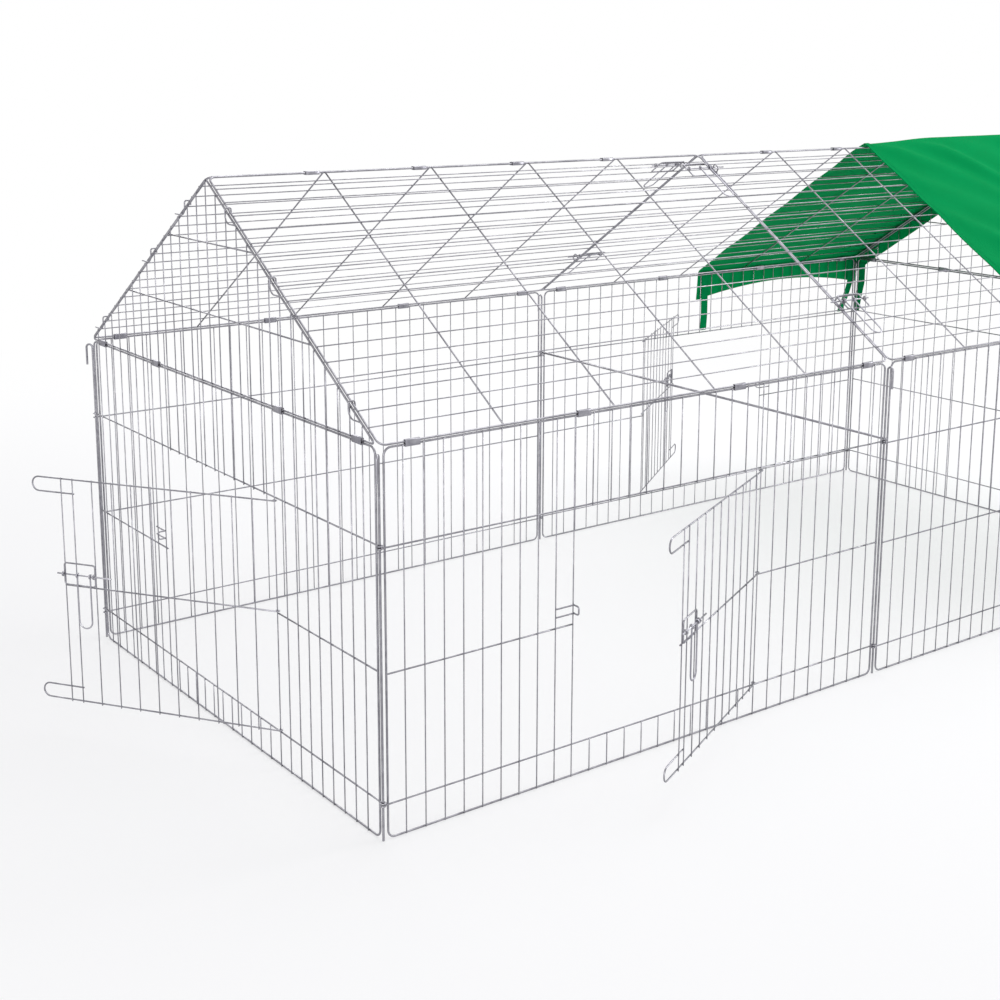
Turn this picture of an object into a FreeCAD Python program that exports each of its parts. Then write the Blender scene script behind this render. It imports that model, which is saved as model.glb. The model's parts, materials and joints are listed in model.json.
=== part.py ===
# Folding wire pet run: two sections with a gabled roof, three doors and a fabric sun cover.
# Lengths in millimetres. X runs along the run, -Y is the front, Z is up, and the origin is the
# middle of the footprint on the ground. Every panel is drawn in its own frame first: X along the
# panel, Z up (or up the slope) and -Y outside, and is then turned and moved to its place.
import FreeCAD
import Part
import Sketcher
import os
import re

V = FreeCAD.Vector
X_AXIS, Y_AXIS, Z_AXIS = V(1, 0, 0), V(0, 1, 0), V(0, 0, 1)

DOC = FreeCAD.newDocument("pet_run")
SHEET = DOC.addObject("Spreadsheet::Sheet", "sizes")

# Driving sizes
SIZES = {
    # the whole run
    "section_length": 1100,
    "run_width": 1050,
    "wall_height": 610,
    "ridge_height": 960,
    # wires, by diameter
    "frame_wire": 3.5,
    "cross_wire": 2.8,
    "mesh_wire": 2.0,
    "rod_wire": 4.0,
    "tie_wire": 5.0,
    "latch_wire": 2.8,
    "hook_wire": 2.5,
    # fits: how deep a weld sinks, gaps of moving fits and of stacked wires, overrun of cuts
    "weld_sink": 0.3,
    "run_clearance": 0.3,
    "stack_gap": 0.3,
    "overrun": 5,
    # wall panels
    "frame_bend": 12,
    "edge_gap": 31,
    "wire_overhang": 1.2,
    "upper_level": 459,
    "middle_level": 264,
    "lower_level": 57,
    "plain_step": -4,
    "end_step": 4,
    "tie_step": 4.5,
    # doors
    "keeper_inset": 350,
    "side_door": 416,
    "end_door": 423,
    "door_step": 4.5,
    "free_gap": 28,
    "edge_pair": 22,
    "hairpin_reach": 57,
    "hairpin_height": 24.5,
    "front_open": 26.8,
    "left_open": 34.3,
    "back_open": 36,
    # latches
    "guide_length": 60,
    "guide_height": 38,
    "guide_foot": 3,
    "guide_drop": 19.5,
    "guide_bend": 5,
    "bolt_length": 105,
    "bolt_reach": 12,
    "bolt_travel": 23,
    "handle_offset": 27,
    "handle_width": 25,
    "handle_length": 93,
    "keeper_spread": 14,
    "roof_latch_inset": 12,
    # gables and hooks
    "gable_upper_share": 0.696,
    "gable_lower_share": 0.345,
    "gable_corner": 5.2,
    "hook_tip": 8,
    "hook_arm": 37.5,
    # rods
    "rod_top": 600,
    "rod_loop": 12,
    "rod_hook": 40,
    # clips
    "clip_margin": 3,
    "clip_wall": 1.0,
    "clip_corner": 1.2,
    "clip_slit": 1.6,
    "ridge_clip_inset": 25,
    # sun cover
    "cover_length": 600,
    "cloth": 1.2,
    "eave_valance": 70,
    "eave_scallop": 30,
    "end_valance": 45,
    "strap_width": 22,
    "strap_length": 80,
    "strap_overlap": 12,
    "strap_cloth": 1.0,
    "strap_inset": 12,
}

# Numbers of wires and gaps
WIRE_SIDES = 6
RING_SIDES = 6
PLAIN_COUNT = 28
KEEPER_COUNT = 9
SIDE_DOOR_COUNT = 11
HINGE_COUNT = 8
END_EDGE_COUNT = 8
END_DOOR_COUNT = 12
DOOR_COUNT = 10
ROOF_CROSS_COUNT = 5
ROOF_COUNT = 18
UPPER_LATCH_INDEX = 16.5
LOWER_LATCH_INDEX = 4.5
HOOK_GAP_INDEX = (2.5, 10.5, 15.5)
TURN_STEPS = 3

# Sizes that follow from those
FORMULAS = {
    "frame_half": "frame_wire / 2 / cos(30 deg)",
    "mesh_half": "mesh_wire / 2 / cos(30 deg)",
    "rod_half": "rod_wire / 2 / cos(30 deg)",
    "latch_half": "latch_wire / 2 / cos(30 deg)",
    "hook_half": "hook_wire / 2 / cos(30 deg)",
    # eyes on the corner rods
    "eye_inner": "rod_half + run_clearance",
    "eye_outer": "eye_inner + cross_wire",
    "post_inset": "eye_outer / cos(30 deg) + frame_half + run_clearance",
    # panels, measured from their middle
    "side_half": "section_length / 2 - post_inset",
    "end_half": "run_width / 2 - post_inset",
    "cross_set": "(frame_wire - cross_wire) / 2",
    "mesh_set": "frame_wire / 2 + mesh_wire / 2 - weld_sink",
    "panel_face": "mesh_set + mesh_wire / 2",
    "side_first": "edge_gap - side_half",
    "side_last": "side_half - edge_gap",
    "side_keeper": "keeper_inset - side_half",
    "side_hinge": "side_keeper + side_door",
    "end_first": "edge_gap - end_half",
    "end_last": "end_half - edge_gap",
    "end_keeper": "-end_door / 2",
    "end_hinge": "end_door / 2",
    # doors, measured from the hinge upright
    "hinge_inner": "mesh_half + run_clearance",
    "hinge_outer": "hinge_inner + cross_wire",
    "door_set": "hinge_inner + cross_wire / 2",
    "door_mesh_set": "door_set + cross_wire / 2 + mesh_wire / 2 - weld_sink",
    "door_face": "door_mesh_set + mesh_wire / 2",
    # latches, measured from the face that carries the guide
    "ring_inner": "latch_half + run_clearance",
    "ring_outer": "ring_inner + latch_wire",
    "bolt_stand": "ring_outer + run_clearance",
    "bar_stand": "latch_wire / 2 - weld_sink",
    "keeper_clear": "2 * (latch_half + run_clearance)",
    # roof
    "eave_z": "wall_height + frame_half + stack_gap",
    "seam_inset": "frame_half + stack_gap / 2",
    "ridge_z": "ridge_height - frame_half",
    "roof_half": "section_length / 2 - seam_inset",
    "roof_run": "run_width / 2 - seam_inset",
    "roof_rise": "ridge_z - eave_z",
    "slope_length": "sqrt(roof_run * roof_run + roof_rise * roof_rise)",
    "slope_angle": "atan(roof_rise / roof_run)",
    "rafter_drop": "2 * frame_half + stack_gap",
    "gable_half": "run_width / 2 - rafter_drop / sin(slope_angle)",
    "gable_rise": "gable_half * tan(slope_angle)",
    "gable_bend": "gable_corner / (2 * sin(slope_angle / 2))",
    "gable_rafter": "gable_half / cos(slope_angle)",
    "gable_upper": "gable_rise * gable_upper_share",
    "gable_lower": "gable_rise * gable_lower_share",
    "hook_drop": "hook_arm * tan(slope_angle) + run_clearance",
    # clips lie between two uprights
    "clip_length": f"(end_last - end_hinge) / {END_EDGE_COUNT} - 2 * (mesh_half + clip_margin)",
    # sun cover: inner and outer surfaces over the slopes and down the eaves
    "cover_lift": "frame_half + 2 * hook_half + 2 * run_clearance",
    "cover_side": "run_width / 2 + cover_lift",
    "cover_end": "section_length + panel_face + 2 * hook_half + 2 * run_clearance + cloth",
    "cover_start": "cover_end - cover_length",
    "cover_eave": "eave_z + cover_lift / cos(slope_angle) - cover_lift * tan(slope_angle)",
    "cover_apex": "cover_eave + cover_side * tan(slope_angle)",
    "cover_rise": "cloth / cos(slope_angle) - cloth * tan(slope_angle)",
    "valance_low": "eave_z - eave_valance",
    "scallop_half": "(cover_length - cloth) / 2",
    "scallop_radius": "(scallop_half * scallop_half + eave_scallop * eave_scallop) / 2 / eave_scallop",
}

for row, (alias, size) in enumerate(SIZES.items(), start=1):
    SHEET.set(f"A{row}", alias)
    SHEET.set(f"B{row}", str(size))
    SHEET.setAlias(f"B{row}", alias)
DOC.recompute()

NODES = []
TURNS = {
    "X": FreeCAD.Rotation(Y_AXIS, 90),
    "Y": FreeCAD.Rotation(X_AXIS, -90),
    "Z": FreeCAD.Rotation(),
}


def full(text):
    """Write an expression out in cells of the sheet."""
    def swap(match):
        word = match.group(0)
        if word in FORMULAS:
            return "(" + full(FORMULAS[word]) + ")"
        return f"sizes.{word}" if word in SIZES else word
    return re.sub(r"[a-z_]+", swap, text)


def number(text):
    """Value of an expression, in millimetres or degrees."""
    result = SHEET.evalExpression(full(text))
    return float(getattr(result, "Value", result))


def bind(piece, path, text):
    piece.setExpression(path, full(text))


def place(piece, spot, axis=None, angle=None):
    """Tie a piece's place, and its turn about one axis, to the sheet."""
    if axis is not None:
        piece.Placement = FreeCAD.Placement(V(), FreeCAD.Rotation(axis, number(angle)))
        bind(piece, ".Placement.Rotation.Angle", angle)
    for letter, text in zip("xyz", spot):
        bind(piece, f".Placement.Base.{letter}", text)
    return piece


def group(label, members, spot=("0", "0", "0"), axis=Z_AXIS, angle="0"):
    """Wires welded into one piece."""
    piece = DOC.addObject("Part::Compound", label)
    piece.Links = members
    return place(piece, spot, axis, angle)


def node(label, members, spot=("0", "0", "0"), axis=Z_AXIS, angle="0"):
    """A finished piece of the run, with a file of its own."""
    piece = group(label, members, spot, axis, angle)
    piece.Label = label
    NODES.append(piece)
    return piece


# Wire shapes


def bar(wire, axis, start, length):
    """Straight wire, drawn with six sides so that two flats lie square to its panel."""
    piece = DOC.addObject("Part::Prism", "bar")
    piece.Polygon = WIRE_SIDES
    bind(piece, "Circumradius", f"{wire} / 2 / cos(30 deg)")
    bind(piece, "Height", length)
    piece.Placement = FreeCAD.Placement(V(), TURNS[axis])
    return place(piece, start)


def round_bar(wire, axis, start, length):
    """Straight round wire that a door turns on."""
    piece = DOC.addObject("Part::Cylinder", "round_bar")
    bind(piece, "Radius", f"{wire} / 2")
    bind(piece, "Height", length)
    piece.Placement = FreeCAD.Placement(V(), TURNS[axis])
    return place(piece, start)


def slanted_bar(wire, start, length, angle):
    """Straight wire in the panel's plane, turned about Y from upright by an angle."""
    piece = bar(wire, "Z", start, length)
    return place(piece, start, Y_AXIS, angle)


def eye_blank(radius, thick):
    """Short bar with a flat square to the panel; the radius is to its flats."""
    piece = DOC.addObject("Part::Prism", "eye_blank")
    piece.Polygon = RING_SIDES
    bind(piece, "Circumradius", f"({radius}) / cos(180 deg / {RING_SIDES})")
    bind(piece, "Height", thick)
    return place(piece, ("0", "0", f"-({thick}) / 2"), Z_AXIS, f"90 deg - 180 deg / {RING_SIDES}")


def eye(inner, wire, axis, centre):
    """Wire bent round into a closed eye about an axis."""
    piece = DOC.addObject("Part::Cut", "eye")
    piece.Base = eye_blank(f"{inner} + {wire}", wire)
    piece.Tool = eye_blank(inner, f"{wire} + 2 * overrun")
    piece.Placement = FreeCAD.Placement(V(), TURNS[axis])
    return place(piece, centre)


def outline(body, name, role, points, closed=True):
    """Sketch of straight runs on one of the body's own planes, each corner tied to the sheet."""
    sketch = body.newObject("Sketcher::SketchObject", name)
    plane = next(item for item in body.Origin.OriginFeatures if item.Role == role)
    sketch.AttachmentSupport = [(plane, "")]
    sketch.MapMode = "FlatFace"
    spots = [V(number(across), number(up), 0) for across, up in points]
    count = len(spots)
    runs = count if closed else count - 1
    for i in range(runs):
        sketch.addGeometry(Part.LineSegment(spots[i], spots[(i + 1) % count]), False)
    for i in range(runs if closed else runs - 1):
        sketch.addConstraint(Sketcher.Constraint("Coincident", i, 2, (i + 1) % runs, 1))
    for i, pair in enumerate(points):
        line, end = (i, 1) if i < runs else (i - 1, 2)
        for kind, text, size in zip(("DistanceX", "DistanceY"), pair, (spots[i].x, spots[i].y)):
            index = sketch.addConstraint(Sketcher.Constraint(kind, -1, 1, line, end, size))
            bind(sketch, f"Constraints[{index}]", text)
    return sketch


def bent(wire, first_run, points, closed=False):
    """Wire bent through points of the panel's plane; the first run goes along X or Z."""
    body = DOC.addObject("PartDesign::Body", "bent_wire")
    path = outline(body, "path", "XZ_Plane", points, closed)
    across, up = points[0]
    role, middle, offset, turn = {
        "X": ("YZ_Plane", ("0", up), across, 90),
        "Z": ("XY_Plane", (across, "0"), up, 0),
    }[first_run]
    radius = f"{wire} / 2 / cos(30 deg)"
    angles = [turn + i * 360 / WIRE_SIDES for i in range(WIRE_SIDES)]
    corners = [
        (f"{middle[0]} + {radius} * cos({angle} deg)", f"{middle[1]} + {radius} * sin({angle} deg)")
        for angle in angles
    ]
    section = outline(body, "section", role, corners)
    bind(section, "AttachmentOffset.Base.z", offset)
    sweep = body.newObject("PartDesign::AdditivePipe", "sweep")
    sweep.Profile = section
    sweep.Spine = path
    sweep.Transition = "Right corner"
    return body


def arc(across, up, radius, start, end):
    """Points of a bend about a centre, from one angle to another."""
    angles = [start + (end - start) * i / TURN_STEPS for i in range(TURN_STEPS + 1)]
    return [
        (f"{across} + {radius} * cos({angle} deg)", f"{up} + {radius} * sin({angle} deg)")
        for angle in angles
    ]


# Panels


def frame(half, low, high):
    """Edge wire of a panel: four straight runs and four bent corners."""
    run_across = f"2 * ({half} - frame_bend - frame_wire)"
    run_up = f"{high} - ({low}) - 2 * (frame_bend + frame_wire)"
    inner = "(frame_bend + frame_wire)"
    wires = []
    for level in (low, high):
        wires.append(bar("frame_wire", "X", (f"{inner} - {half}", "0", level), run_across))
    for side in ("-", ""):
        wires.append(bar("frame_wire", "Z", (f"{side}({half})", "0", f"{low} + {inner}"), run_up))
        for level, way in ((low, "+"), (high, "-")):
            wires.append(bent("frame_wire", "X", [
                (f"{side}({half} - {inner})", level),
                (f"{side}({half} - frame_bend)", level),
                (f"{side}({half})", f"{level} {way} frame_bend"),
                (f"{side}({half})", f"{level} {way} {inner}"),
            ]))
    return wires


def spaced(first, last, gaps):
    """Places of evenly spaced wires, ends included."""
    return [f"{first} + {i} / {gaps} * ({last} - {first})" for i in range(gaps + 1)]


def upright(place_across, low, high, draw=bar):
    return draw("mesh_wire", "Z", (place_across, "-mesh_set", low), f"{high} - ({low})")


SIDE_PLAIN = spaced("side_first", "side_last", PLAIN_COUNT)
END_PLAIN = spaced("end_first", "end_last", PLAIN_COUNT)
SIDE_WITH_DOOR = (
    spaced("side_first", "side_keeper", KEEPER_COUNT)
    + spaced("side_keeper", "side_hinge", SIDE_DOOR_COUNT)[1:]
    + spaced("side_hinge", "side_last", HINGE_COUNT)[1:]
)
END_WITH_DOOR = (
    spaced("end_first", "end_keeper", END_EDGE_COUNT)
    + spaced("end_keeper", "end_hinge", END_DOOR_COUNT)[1:]
    + spaced("end_hinge", "end_last", END_EDGE_COUNT)[1:]
)


def keeper(across, foot, face, middle):
    """Loop that stands out of a panel and takes the end of a bolt."""
    reach = f"{face} + bolt_stand + keeper_clear"
    points = [
        (f"-({foot})", "-keeper_spread / 2"),
        (f"-({reach})", "-keeper_spread / 2"),
        (f"-({reach})", "keeper_spread / 2"),
        (f"-({foot})", "keeper_spread / 2"),
    ]
    return place(bent("latch_wire", "X", points), (across, "0", middle), Z_AXIS, "90 deg")


def wall_panel(half, uprights, step, opening=None):
    """Wires of one wall panel; an opening is the pair of uprights at the door's two sides."""
    eye_place = f"{half} + post_inset"
    reach = f"{eye_place} - eye_inner - cross_wire / 2"
    wires = frame(half, "frame_half", "wall_height - frame_half")
    for level in ("upper_level", "lower_level"):
        height = f"{level} + {step}"
        wires.append(bar("cross_wire", "X", (f"-({reach})", "-cross_set", height), f"2 * ({reach})"))
        for side in ("-", ""):
            spot = (f"{side}({eye_place})", "0", height)
            wires.append(eye("eye_inner", "cross_wire", "Z", spot))
    middle = f"middle_level + {step}"
    low, high = "frame_half - frame_wire / 4", "wall_height - frame_half + frame_wire / 4"
    if opening is None:
        wires.append(bar("cross_wire", "X", (f"-({half})", "-cross_set", middle), f"2 * ({half})"))
        return wires + [upright(across, low, high) for across in uprights]
    keep, hinge = (uprights[i] for i in opening)
    past = "mesh_half + wire_overhang"
    wires.append(bar("cross_wire", "X", (f"-({half})", "-cross_set", middle), f"{keep} + {half} + {past}"))
    start = f"{hinge} - ({past})"
    wires.append(bar("cross_wire", "X", (start, "-cross_set", middle), f"{half} - ({start})"))
    for i, across in enumerate(uprights):
        if opening[0] < i < opening[1]:
            wires.append(upright(across, low, f"lower_level + {step} + cross_wire / 2 + wire_overhang"))
            wires.append(upright(across, f"upper_level + {step} - cross_wire / 2 - wire_overhang", high))
        else:
            wires.append(upright(across, low, high, round_bar if i == opening[1] else bar))
    axis_z = f"{middle} + door_step + guide_foot + guide_drop"
    face = "mesh_set + door_face"
    wires.append(keeper(keep, "panel_face + bar_stand", face, axis_z))
    before = uprights[opening[0] - 1]
    for side in ("-", "+"):
        spot = (f"{before} - mesh_half", "-panel_face - bar_stand", f"{axis_z} {side} keeper_spread / 2")
        wires.append(bar("latch_wire", "X", spot, f"{keep} - ({before}) + mesh_half"))
    return wires


SIDE_OPENING = (KEEPER_COUNT, KEEPER_COUNT + SIDE_DOOR_COUNT)
END_OPENING = (END_EDGE_COUNT, END_EDGE_COUNT + END_DOOR_COUNT)
FRONT_LEFT = (("-section_length / 2", "-run_width / 2", "0"), Z_AXIS, "0")
FRONT_RIGHT = (("section_length / 2", "-run_width / 2", "0"), Z_AXIS, "0")
BACK_LEFT = (("-section_length / 2", "run_width / 2", "0"), Z_AXIS, "180 deg")
BACK_RIGHT = (("section_length / 2", "run_width / 2", "0"), Z_AXIS, "180 deg")
LEFT_END = (("-section_length", "0", "0"), Z_AXIS, "-90 deg")
RIGHT_END = (("section_length", "0", "0"), Z_AXIS, "90 deg")

node("front_left_panel", wall_panel("side_half", SIDE_WITH_DOOR, "0", SIDE_OPENING), *FRONT_LEFT)
node("front_right_panel", wall_panel("side_half", SIDE_PLAIN, "plain_step"), *FRONT_RIGHT)
node("back_left_panel", wall_panel("side_half", SIDE_PLAIN, "plain_step"), *BACK_LEFT)
node("back_right_panel", wall_panel("side_half", SIDE_WITH_DOOR, "0", SIDE_OPENING), *BACK_RIGHT)
node("left_end_panel", wall_panel("end_half", END_WITH_DOOR, "end_step", END_OPENING), *LEFT_END)
node("right_end_panel", wall_panel("end_half", END_PLAIN, "end_step"), *RIGHT_END)


# Latches: a bolt in two guide rings, with a swinging handle. The bolt goes out towards `way`.


def latch_guide(first, length, way, face, axis_z):
    """Wire loop and two rings, welded on a face, that carry a bolt."""
    stand = f"{face} + bar_stand"
    far = f"{first} - ({way}) * {length}"
    low, high = f"{axis_z} - guide_drop", f"{axis_z} - guide_drop + guide_height"
    corners = []
    for across, inward in ((far, way), (first, f"-({way})")):
        near = f"{across} + ({inward}) * guide_bend"
        ends = [(near, low), (across, f"{low} + guide_bend"), (across, f"{high} - guide_bend"), (near, high)]
        corners.append(ends)
    middle = (f"({first} + {far}) / 2", low)
    loop = bent("latch_wire", "X", [middle] + corners[1] + corners[0][::-1], closed=True)
    place(loop, ("0", f"-({stand})", "0"))
    rings = [
        eye("ring_inner", "latch_wire", "X", (across, f"-({face} + bolt_stand)", axis_z))
        for across in (first, far)
    ]
    return [loop] + rings


def latch_bolt(first, way, face, axis_z, out):
    start = f"{first} + ({way}) * (bolt_reach + {out} - bolt_length / 2) - bolt_length / 2"
    return [bar("latch_wire", "X", (start, f"-({face} + bolt_stand)", axis_z), "bolt_length")]


def latch_handle(first, way, face, axis_z, out):
    """U of wire that hangs from the bolt by two eyes."""
    near = f"{first} - ({way}) * (handle_offset - {out})"
    far = f"{near} - ({way}) * handle_width"
    spot = ("0", f"-({face} + bolt_stand)", "0")
    top = f"{axis_z} - ring_outer + weld_sink"
    bend = "handle_width / 2"
    middle = f"{near} - ({way}) * {bend}"
    turn = arc("0", f"{axis_z} - handle_length + {bend}", bend, 180, 360)
    points = [("-handle_width / 2", top)] + turn + [("handle_width / 2", top)]
    loop = place(bent("latch_wire", "Z", points), (middle, spot[1], "0"))
    eyes = [eye("ring_inner", "latch_wire", "X", (across, spot[1], axis_z)) for across in (near, far)]
    return [loop] + eyes


# Doors, drawn shut about the hinge upright and then turned open


def door_wires(width, step):
    top, low = f"upper_level + {step} - door_step", f"lower_level + {step} + door_step"
    middle = f"middle_level + {step} + door_step"
    first = f"({width} - free_gap)"
    second = f"({first} - edge_pair)"
    bend = "hairpin_height / 2"
    turn_at = f"({first} + hairpin_reach - {bend})"
    wires = [eye("hinge_inner", "cross_wire", "Z", ("0", "0", level)) for level in (top, middle, low)]
    for level, way in ((top, "-"), (low, "+")):
        wires.append(bar("cross_wire", "X", (f"-{turn_at}", "-door_set", level), turn_at))
        start, end = (90, 270) if way == "-" else (-90, -270)
        turn = arc(f"-{turn_at}", f"{level} {way} {bend}", bend, start, end)
        leg = [(f"wire_overhang - {second}", f"{level} {way} hairpin_height")]
        wires.append(place(bent("cross_wire", "X", leg + turn[::-1]), ("0", "-door_set", "0")))
    reach = f"{first} + mesh_half + wire_overhang"
    wires.append(bar("cross_wire", "X", (f"-({reach})", "-door_set", middle), reach))
    for across in [f"{i} / {DOOR_COUNT} * {second}" for i in range(1, DOOR_COUNT + 1)] + [first]:
        spot = (f"-({across})", "-door_mesh_set", f"{low} - cross_wire / 2 - wire_overhang")
        wires.append(bar("mesh_wire", "Z", spot, f"{top} - ({low}) + cross_wire + 2 * wire_overhang"))
    return wires


def door(name, width, step, place_of_hinge, angle):
    """A door, its bolt and the bolt's handle."""
    first = f"(free_gap - {width})"
    length = f"(edge_pair + ({width} - free_gap - edge_pair) / {DOOR_COUNT})"
    axis_z = f"middle_level + {step} + door_step + guide_foot + guide_drop"
    latch = (first, "-1", "door_face", axis_z)
    guide = latch_guide(first, length, "-1", "door_face", axis_z)
    node(f"{name}_door", door_wires(width, step) + guide, place_of_hinge, Z_AXIS, angle)
    node(f"{name}_door_bolt", latch_bolt(*latch, "0"), place_of_hinge, Z_AXIS, angle)
    node(f"{name}_door_handle", latch_handle(*latch, "0"), place_of_hinge, Z_AXIS, angle)


FRONT_HINGE = ("side_hinge - section_length / 2", "-run_width / 2 - mesh_set", "0")
LEFT_HINGE = ("-section_length - mesh_set", "-end_hinge", "0")
BACK_HINGE = ("section_length / 2 - side_hinge", "run_width / 2 + mesh_set", "0")
door("front", "side_door", "0", FRONT_HINGE, "front_open * 1 deg")
door("left", "end_door", "end_step", LEFT_HINGE, "(left_open - 90) * 1 deg")
door("back", "side_door", "0", BACK_HINGE, "(back_open + 180) * 1 deg")


# Roof panels, drawn with Z up the slope from the eave wire


def roof_panel_wires(way, latch_gap, keeper_gap):
    """Grille of one roof panel, with its latch guide and keeper at the seam on its `way` side."""
    wires = frame("roof_half", "0", "slope_length")
    for across in spaced("-roof_half", "roof_half", ROOF_CROSS_COUNT)[1:-1]:
        wires.append(bar("cross_wire", "Z", (across, "-cross_set", "0"), "slope_length"))
    for height in spaced("0", "slope_length", ROOF_COUNT)[1:-1]:
        spot = ("-roof_half - frame_wire / 4", "-mesh_set", height)
        wires.append(bar("mesh_wire", "X", spot, "2 * roof_half + frame_wire / 2"))
    wires += latch_guide(*roof_latch(way, latch_gap, length="guide_length"))
    height = f"slope_length * {keeper_gap} / {ROOF_COUNT}"
    wires.append(keeper(f"({way}) * roof_half", "frame_wire / 2 - weld_sink", "panel_face", height))
    return wires


def roof_latch(way, gap, length=None):
    first = f"(({way}) * (section_length / 2 - roof_latch_inset))"
    height = f"slope_length * {gap} / {ROOF_COUNT}"
    return (first, length, way, "panel_face", height) if length else (first, way, "panel_face", height)


def on_slope(name, members, x, front):
    """Lean a piece back to the slope and set it on its eave."""
    lean = group(f"{name}_lean", members, ("0", "-run_width / 2", "eave_z"), X_AXIS, "slope_angle - 90 deg")
    return node(name, [lean], (x, "0", "0"), Z_AXIS, "0" if front else "180 deg")


for slope in ("front", "back"):
    for side, x in (("left", "-section_length / 2"), ("right", "section_length / 2")):
        front = slope == "front"
        seam = "1" if (side == "left") == front else "-1"
        gaps = (UPPER_LATCH_INDEX, LOWER_LATCH_INDEX)
        own, other = gaps if side == "left" else gaps[::-1]
        name = f"{slope}_{side}_roof"
        latch = roof_latch(seam, own)
        on_slope(name, roof_panel_wires(seam, own, other), x, front)
        on_slope(f"{name}_bolt", latch_bolt(*latch, "bolt_travel"), x, front)
        on_slope(f"{name}_handle", latch_handle(*latch, "bolt_travel"), x, front)


# Gables, drawn from the middle of their base wire


def gable_wires(uprights):
    inner = "(gable_bend + frame_wire)"
    wires = [bar("frame_wire", "X", (f"{inner} - gable_half", "0", "0"), f"2 * (gable_half - {inner})")]
    for side, lean in (("-", "90 deg - slope_angle"), ("", "slope_angle - 90 deg")):
        start = (f"{side}(gable_half - {inner} * cos(slope_angle))", "0", f"{inner} * sin(slope_angle)")
        wires.append(slanted_bar("frame_wire", start, f"gable_rafter - {inner} + frame_half / 2", lean))
        wires.append(bent("frame_wire", "X", [
            (f"{side}(gable_half - {inner})", "0"),
            (f"{side}(gable_half - gable_bend)", "0"),
            (f"{side}(gable_half - gable_bend * cos(slope_angle))", "gable_bend * sin(slope_angle)"),
            (f"{side}(gable_half - {inner} * cos(slope_angle))", f"{inner} * sin(slope_angle)"),
        ]))
    for height in ("gable_upper", "gable_lower"):
        reach = f"(gable_half * (1 - {height} / gable_rise))"
        wires.append(bar("cross_wire", "X", (f"-{reach}", "-cross_set", height), f"2 * {reach}"))
    for i, across in enumerate(uprights):
        inward = "" if i < len(uprights) // 2 else "-"
        top = f"(gable_half + ({inward}1) * ({across})) * tan(slope_angle)"
        spot = (across, "-mesh_set", "-frame_wire / 4")
        wires.append(bar("mesh_wire", "Z", spot, f"{top} + frame_wire / 4"))
    return wires


def hooks():
    """Wire hooks over the roof's end wires and the gable's rafters, three to a slope."""
    over = "(frame_half + hook_half + run_clearance) / cos(slope_angle)"
    inside = "seam_inset + frame_half + hook_half + run_clearance"
    outside = "panel_face + hook_half + run_clearance"
    pieces = []
    for side in ("-1", "1"):
        for gap in HOOK_GAP_INDEX:
            along = f"slope_length * {gap} / {ROOF_COUNT}"
            across = f"(run_width / 2 - {along} * cos(slope_angle))"
            high = f"{along} * sin(slope_angle) + {over}"
            points = [
                (inside, f"{high} - hook_tip"),
                (inside, high),
                (f"-({outside})", high),
                (f"-({outside})", f"{high} - hook_drop"),
            ]
            crook = bent("hook_wire", "Z", points)
            pieces.append(place(crook, (f"{side} * {across}", "0", "0"), Z_AXIS, "90 deg"))
            start = f"{side} * ({across} + hook_arm / 2) - hook_arm / 2"
            spot = (start, f"-({outside})", f"{high} - hook_drop")
            pieces.append(bar("hook_wire", "X", spot, "hook_arm"))
    return pieces


LEFT_GABLE = (("-section_length", "0", "eave_z"), Z_AXIS, "-90 deg")
RIGHT_GABLE = (("section_length", "0", "eave_z"), Z_AXIS, "90 deg")
node("left_gable", gable_wires(END_WITH_DOOR), *LEFT_GABLE)
node("right_gable", gable_wires(END_PLAIN), *RIGHT_GABLE)
node("left_gable_hooks", hooks(), *LEFT_GABLE)
node("right_gable_hooks", hooks(), *RIGHT_GABLE)


# Rods through the eyes of two panels, with a bent-over top to pull them by


def rod(label, spot, facing):
    bend = "rod_loop / 2"
    turn = arc(f"-{bend}", f"rod_top - {bend}", bend, 0, 180)
    points = [("0", "0")] + turn + [("-rod_loop", "rod_top - rod_hook")]
    node(label, [bent("rod_wire", "Z", points)], spot, Z_AXIS, facing)


rod("front_left_rod", ("-section_length", "-run_width / 2", "0"), "45 deg")
rod("back_left_rod", ("-section_length", "run_width / 2", "0"), "-45 deg")
rod("front_middle_rod", ("0", "-run_width / 2", "0"), "90 deg")
rod("back_middle_rod", ("0", "run_width / 2", "0"), "-90 deg")
rod("front_right_rod", ("section_length", "-run_width / 2", "0"), "-45 deg")
rod("back_right_rod", ("section_length", "run_width / 2", "0"), "45 deg")

# Tie bar across the middle
TIE_HALF = "(run_width / 2 - eye_inner - cross_wire / 2)"
TIE_Z = "upper_level + tie_step"
TIE_WIRES = [bar("tie_wire", "Y", ("0", f"-{TIE_HALF}", TIE_Z), f"2 * {TIE_HALF}")]
for tie_side in ("-", ""):
    TIE_SPOT = ("0", f"{tie_side}run_width / 2", TIE_Z)
    TIE_WIRES.append(eye("eye_inner", "cross_wire", "Z", TIE_SPOT))
node("tie_bar", TIE_WIRES)


# Sheet clips round two edge wires


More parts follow.
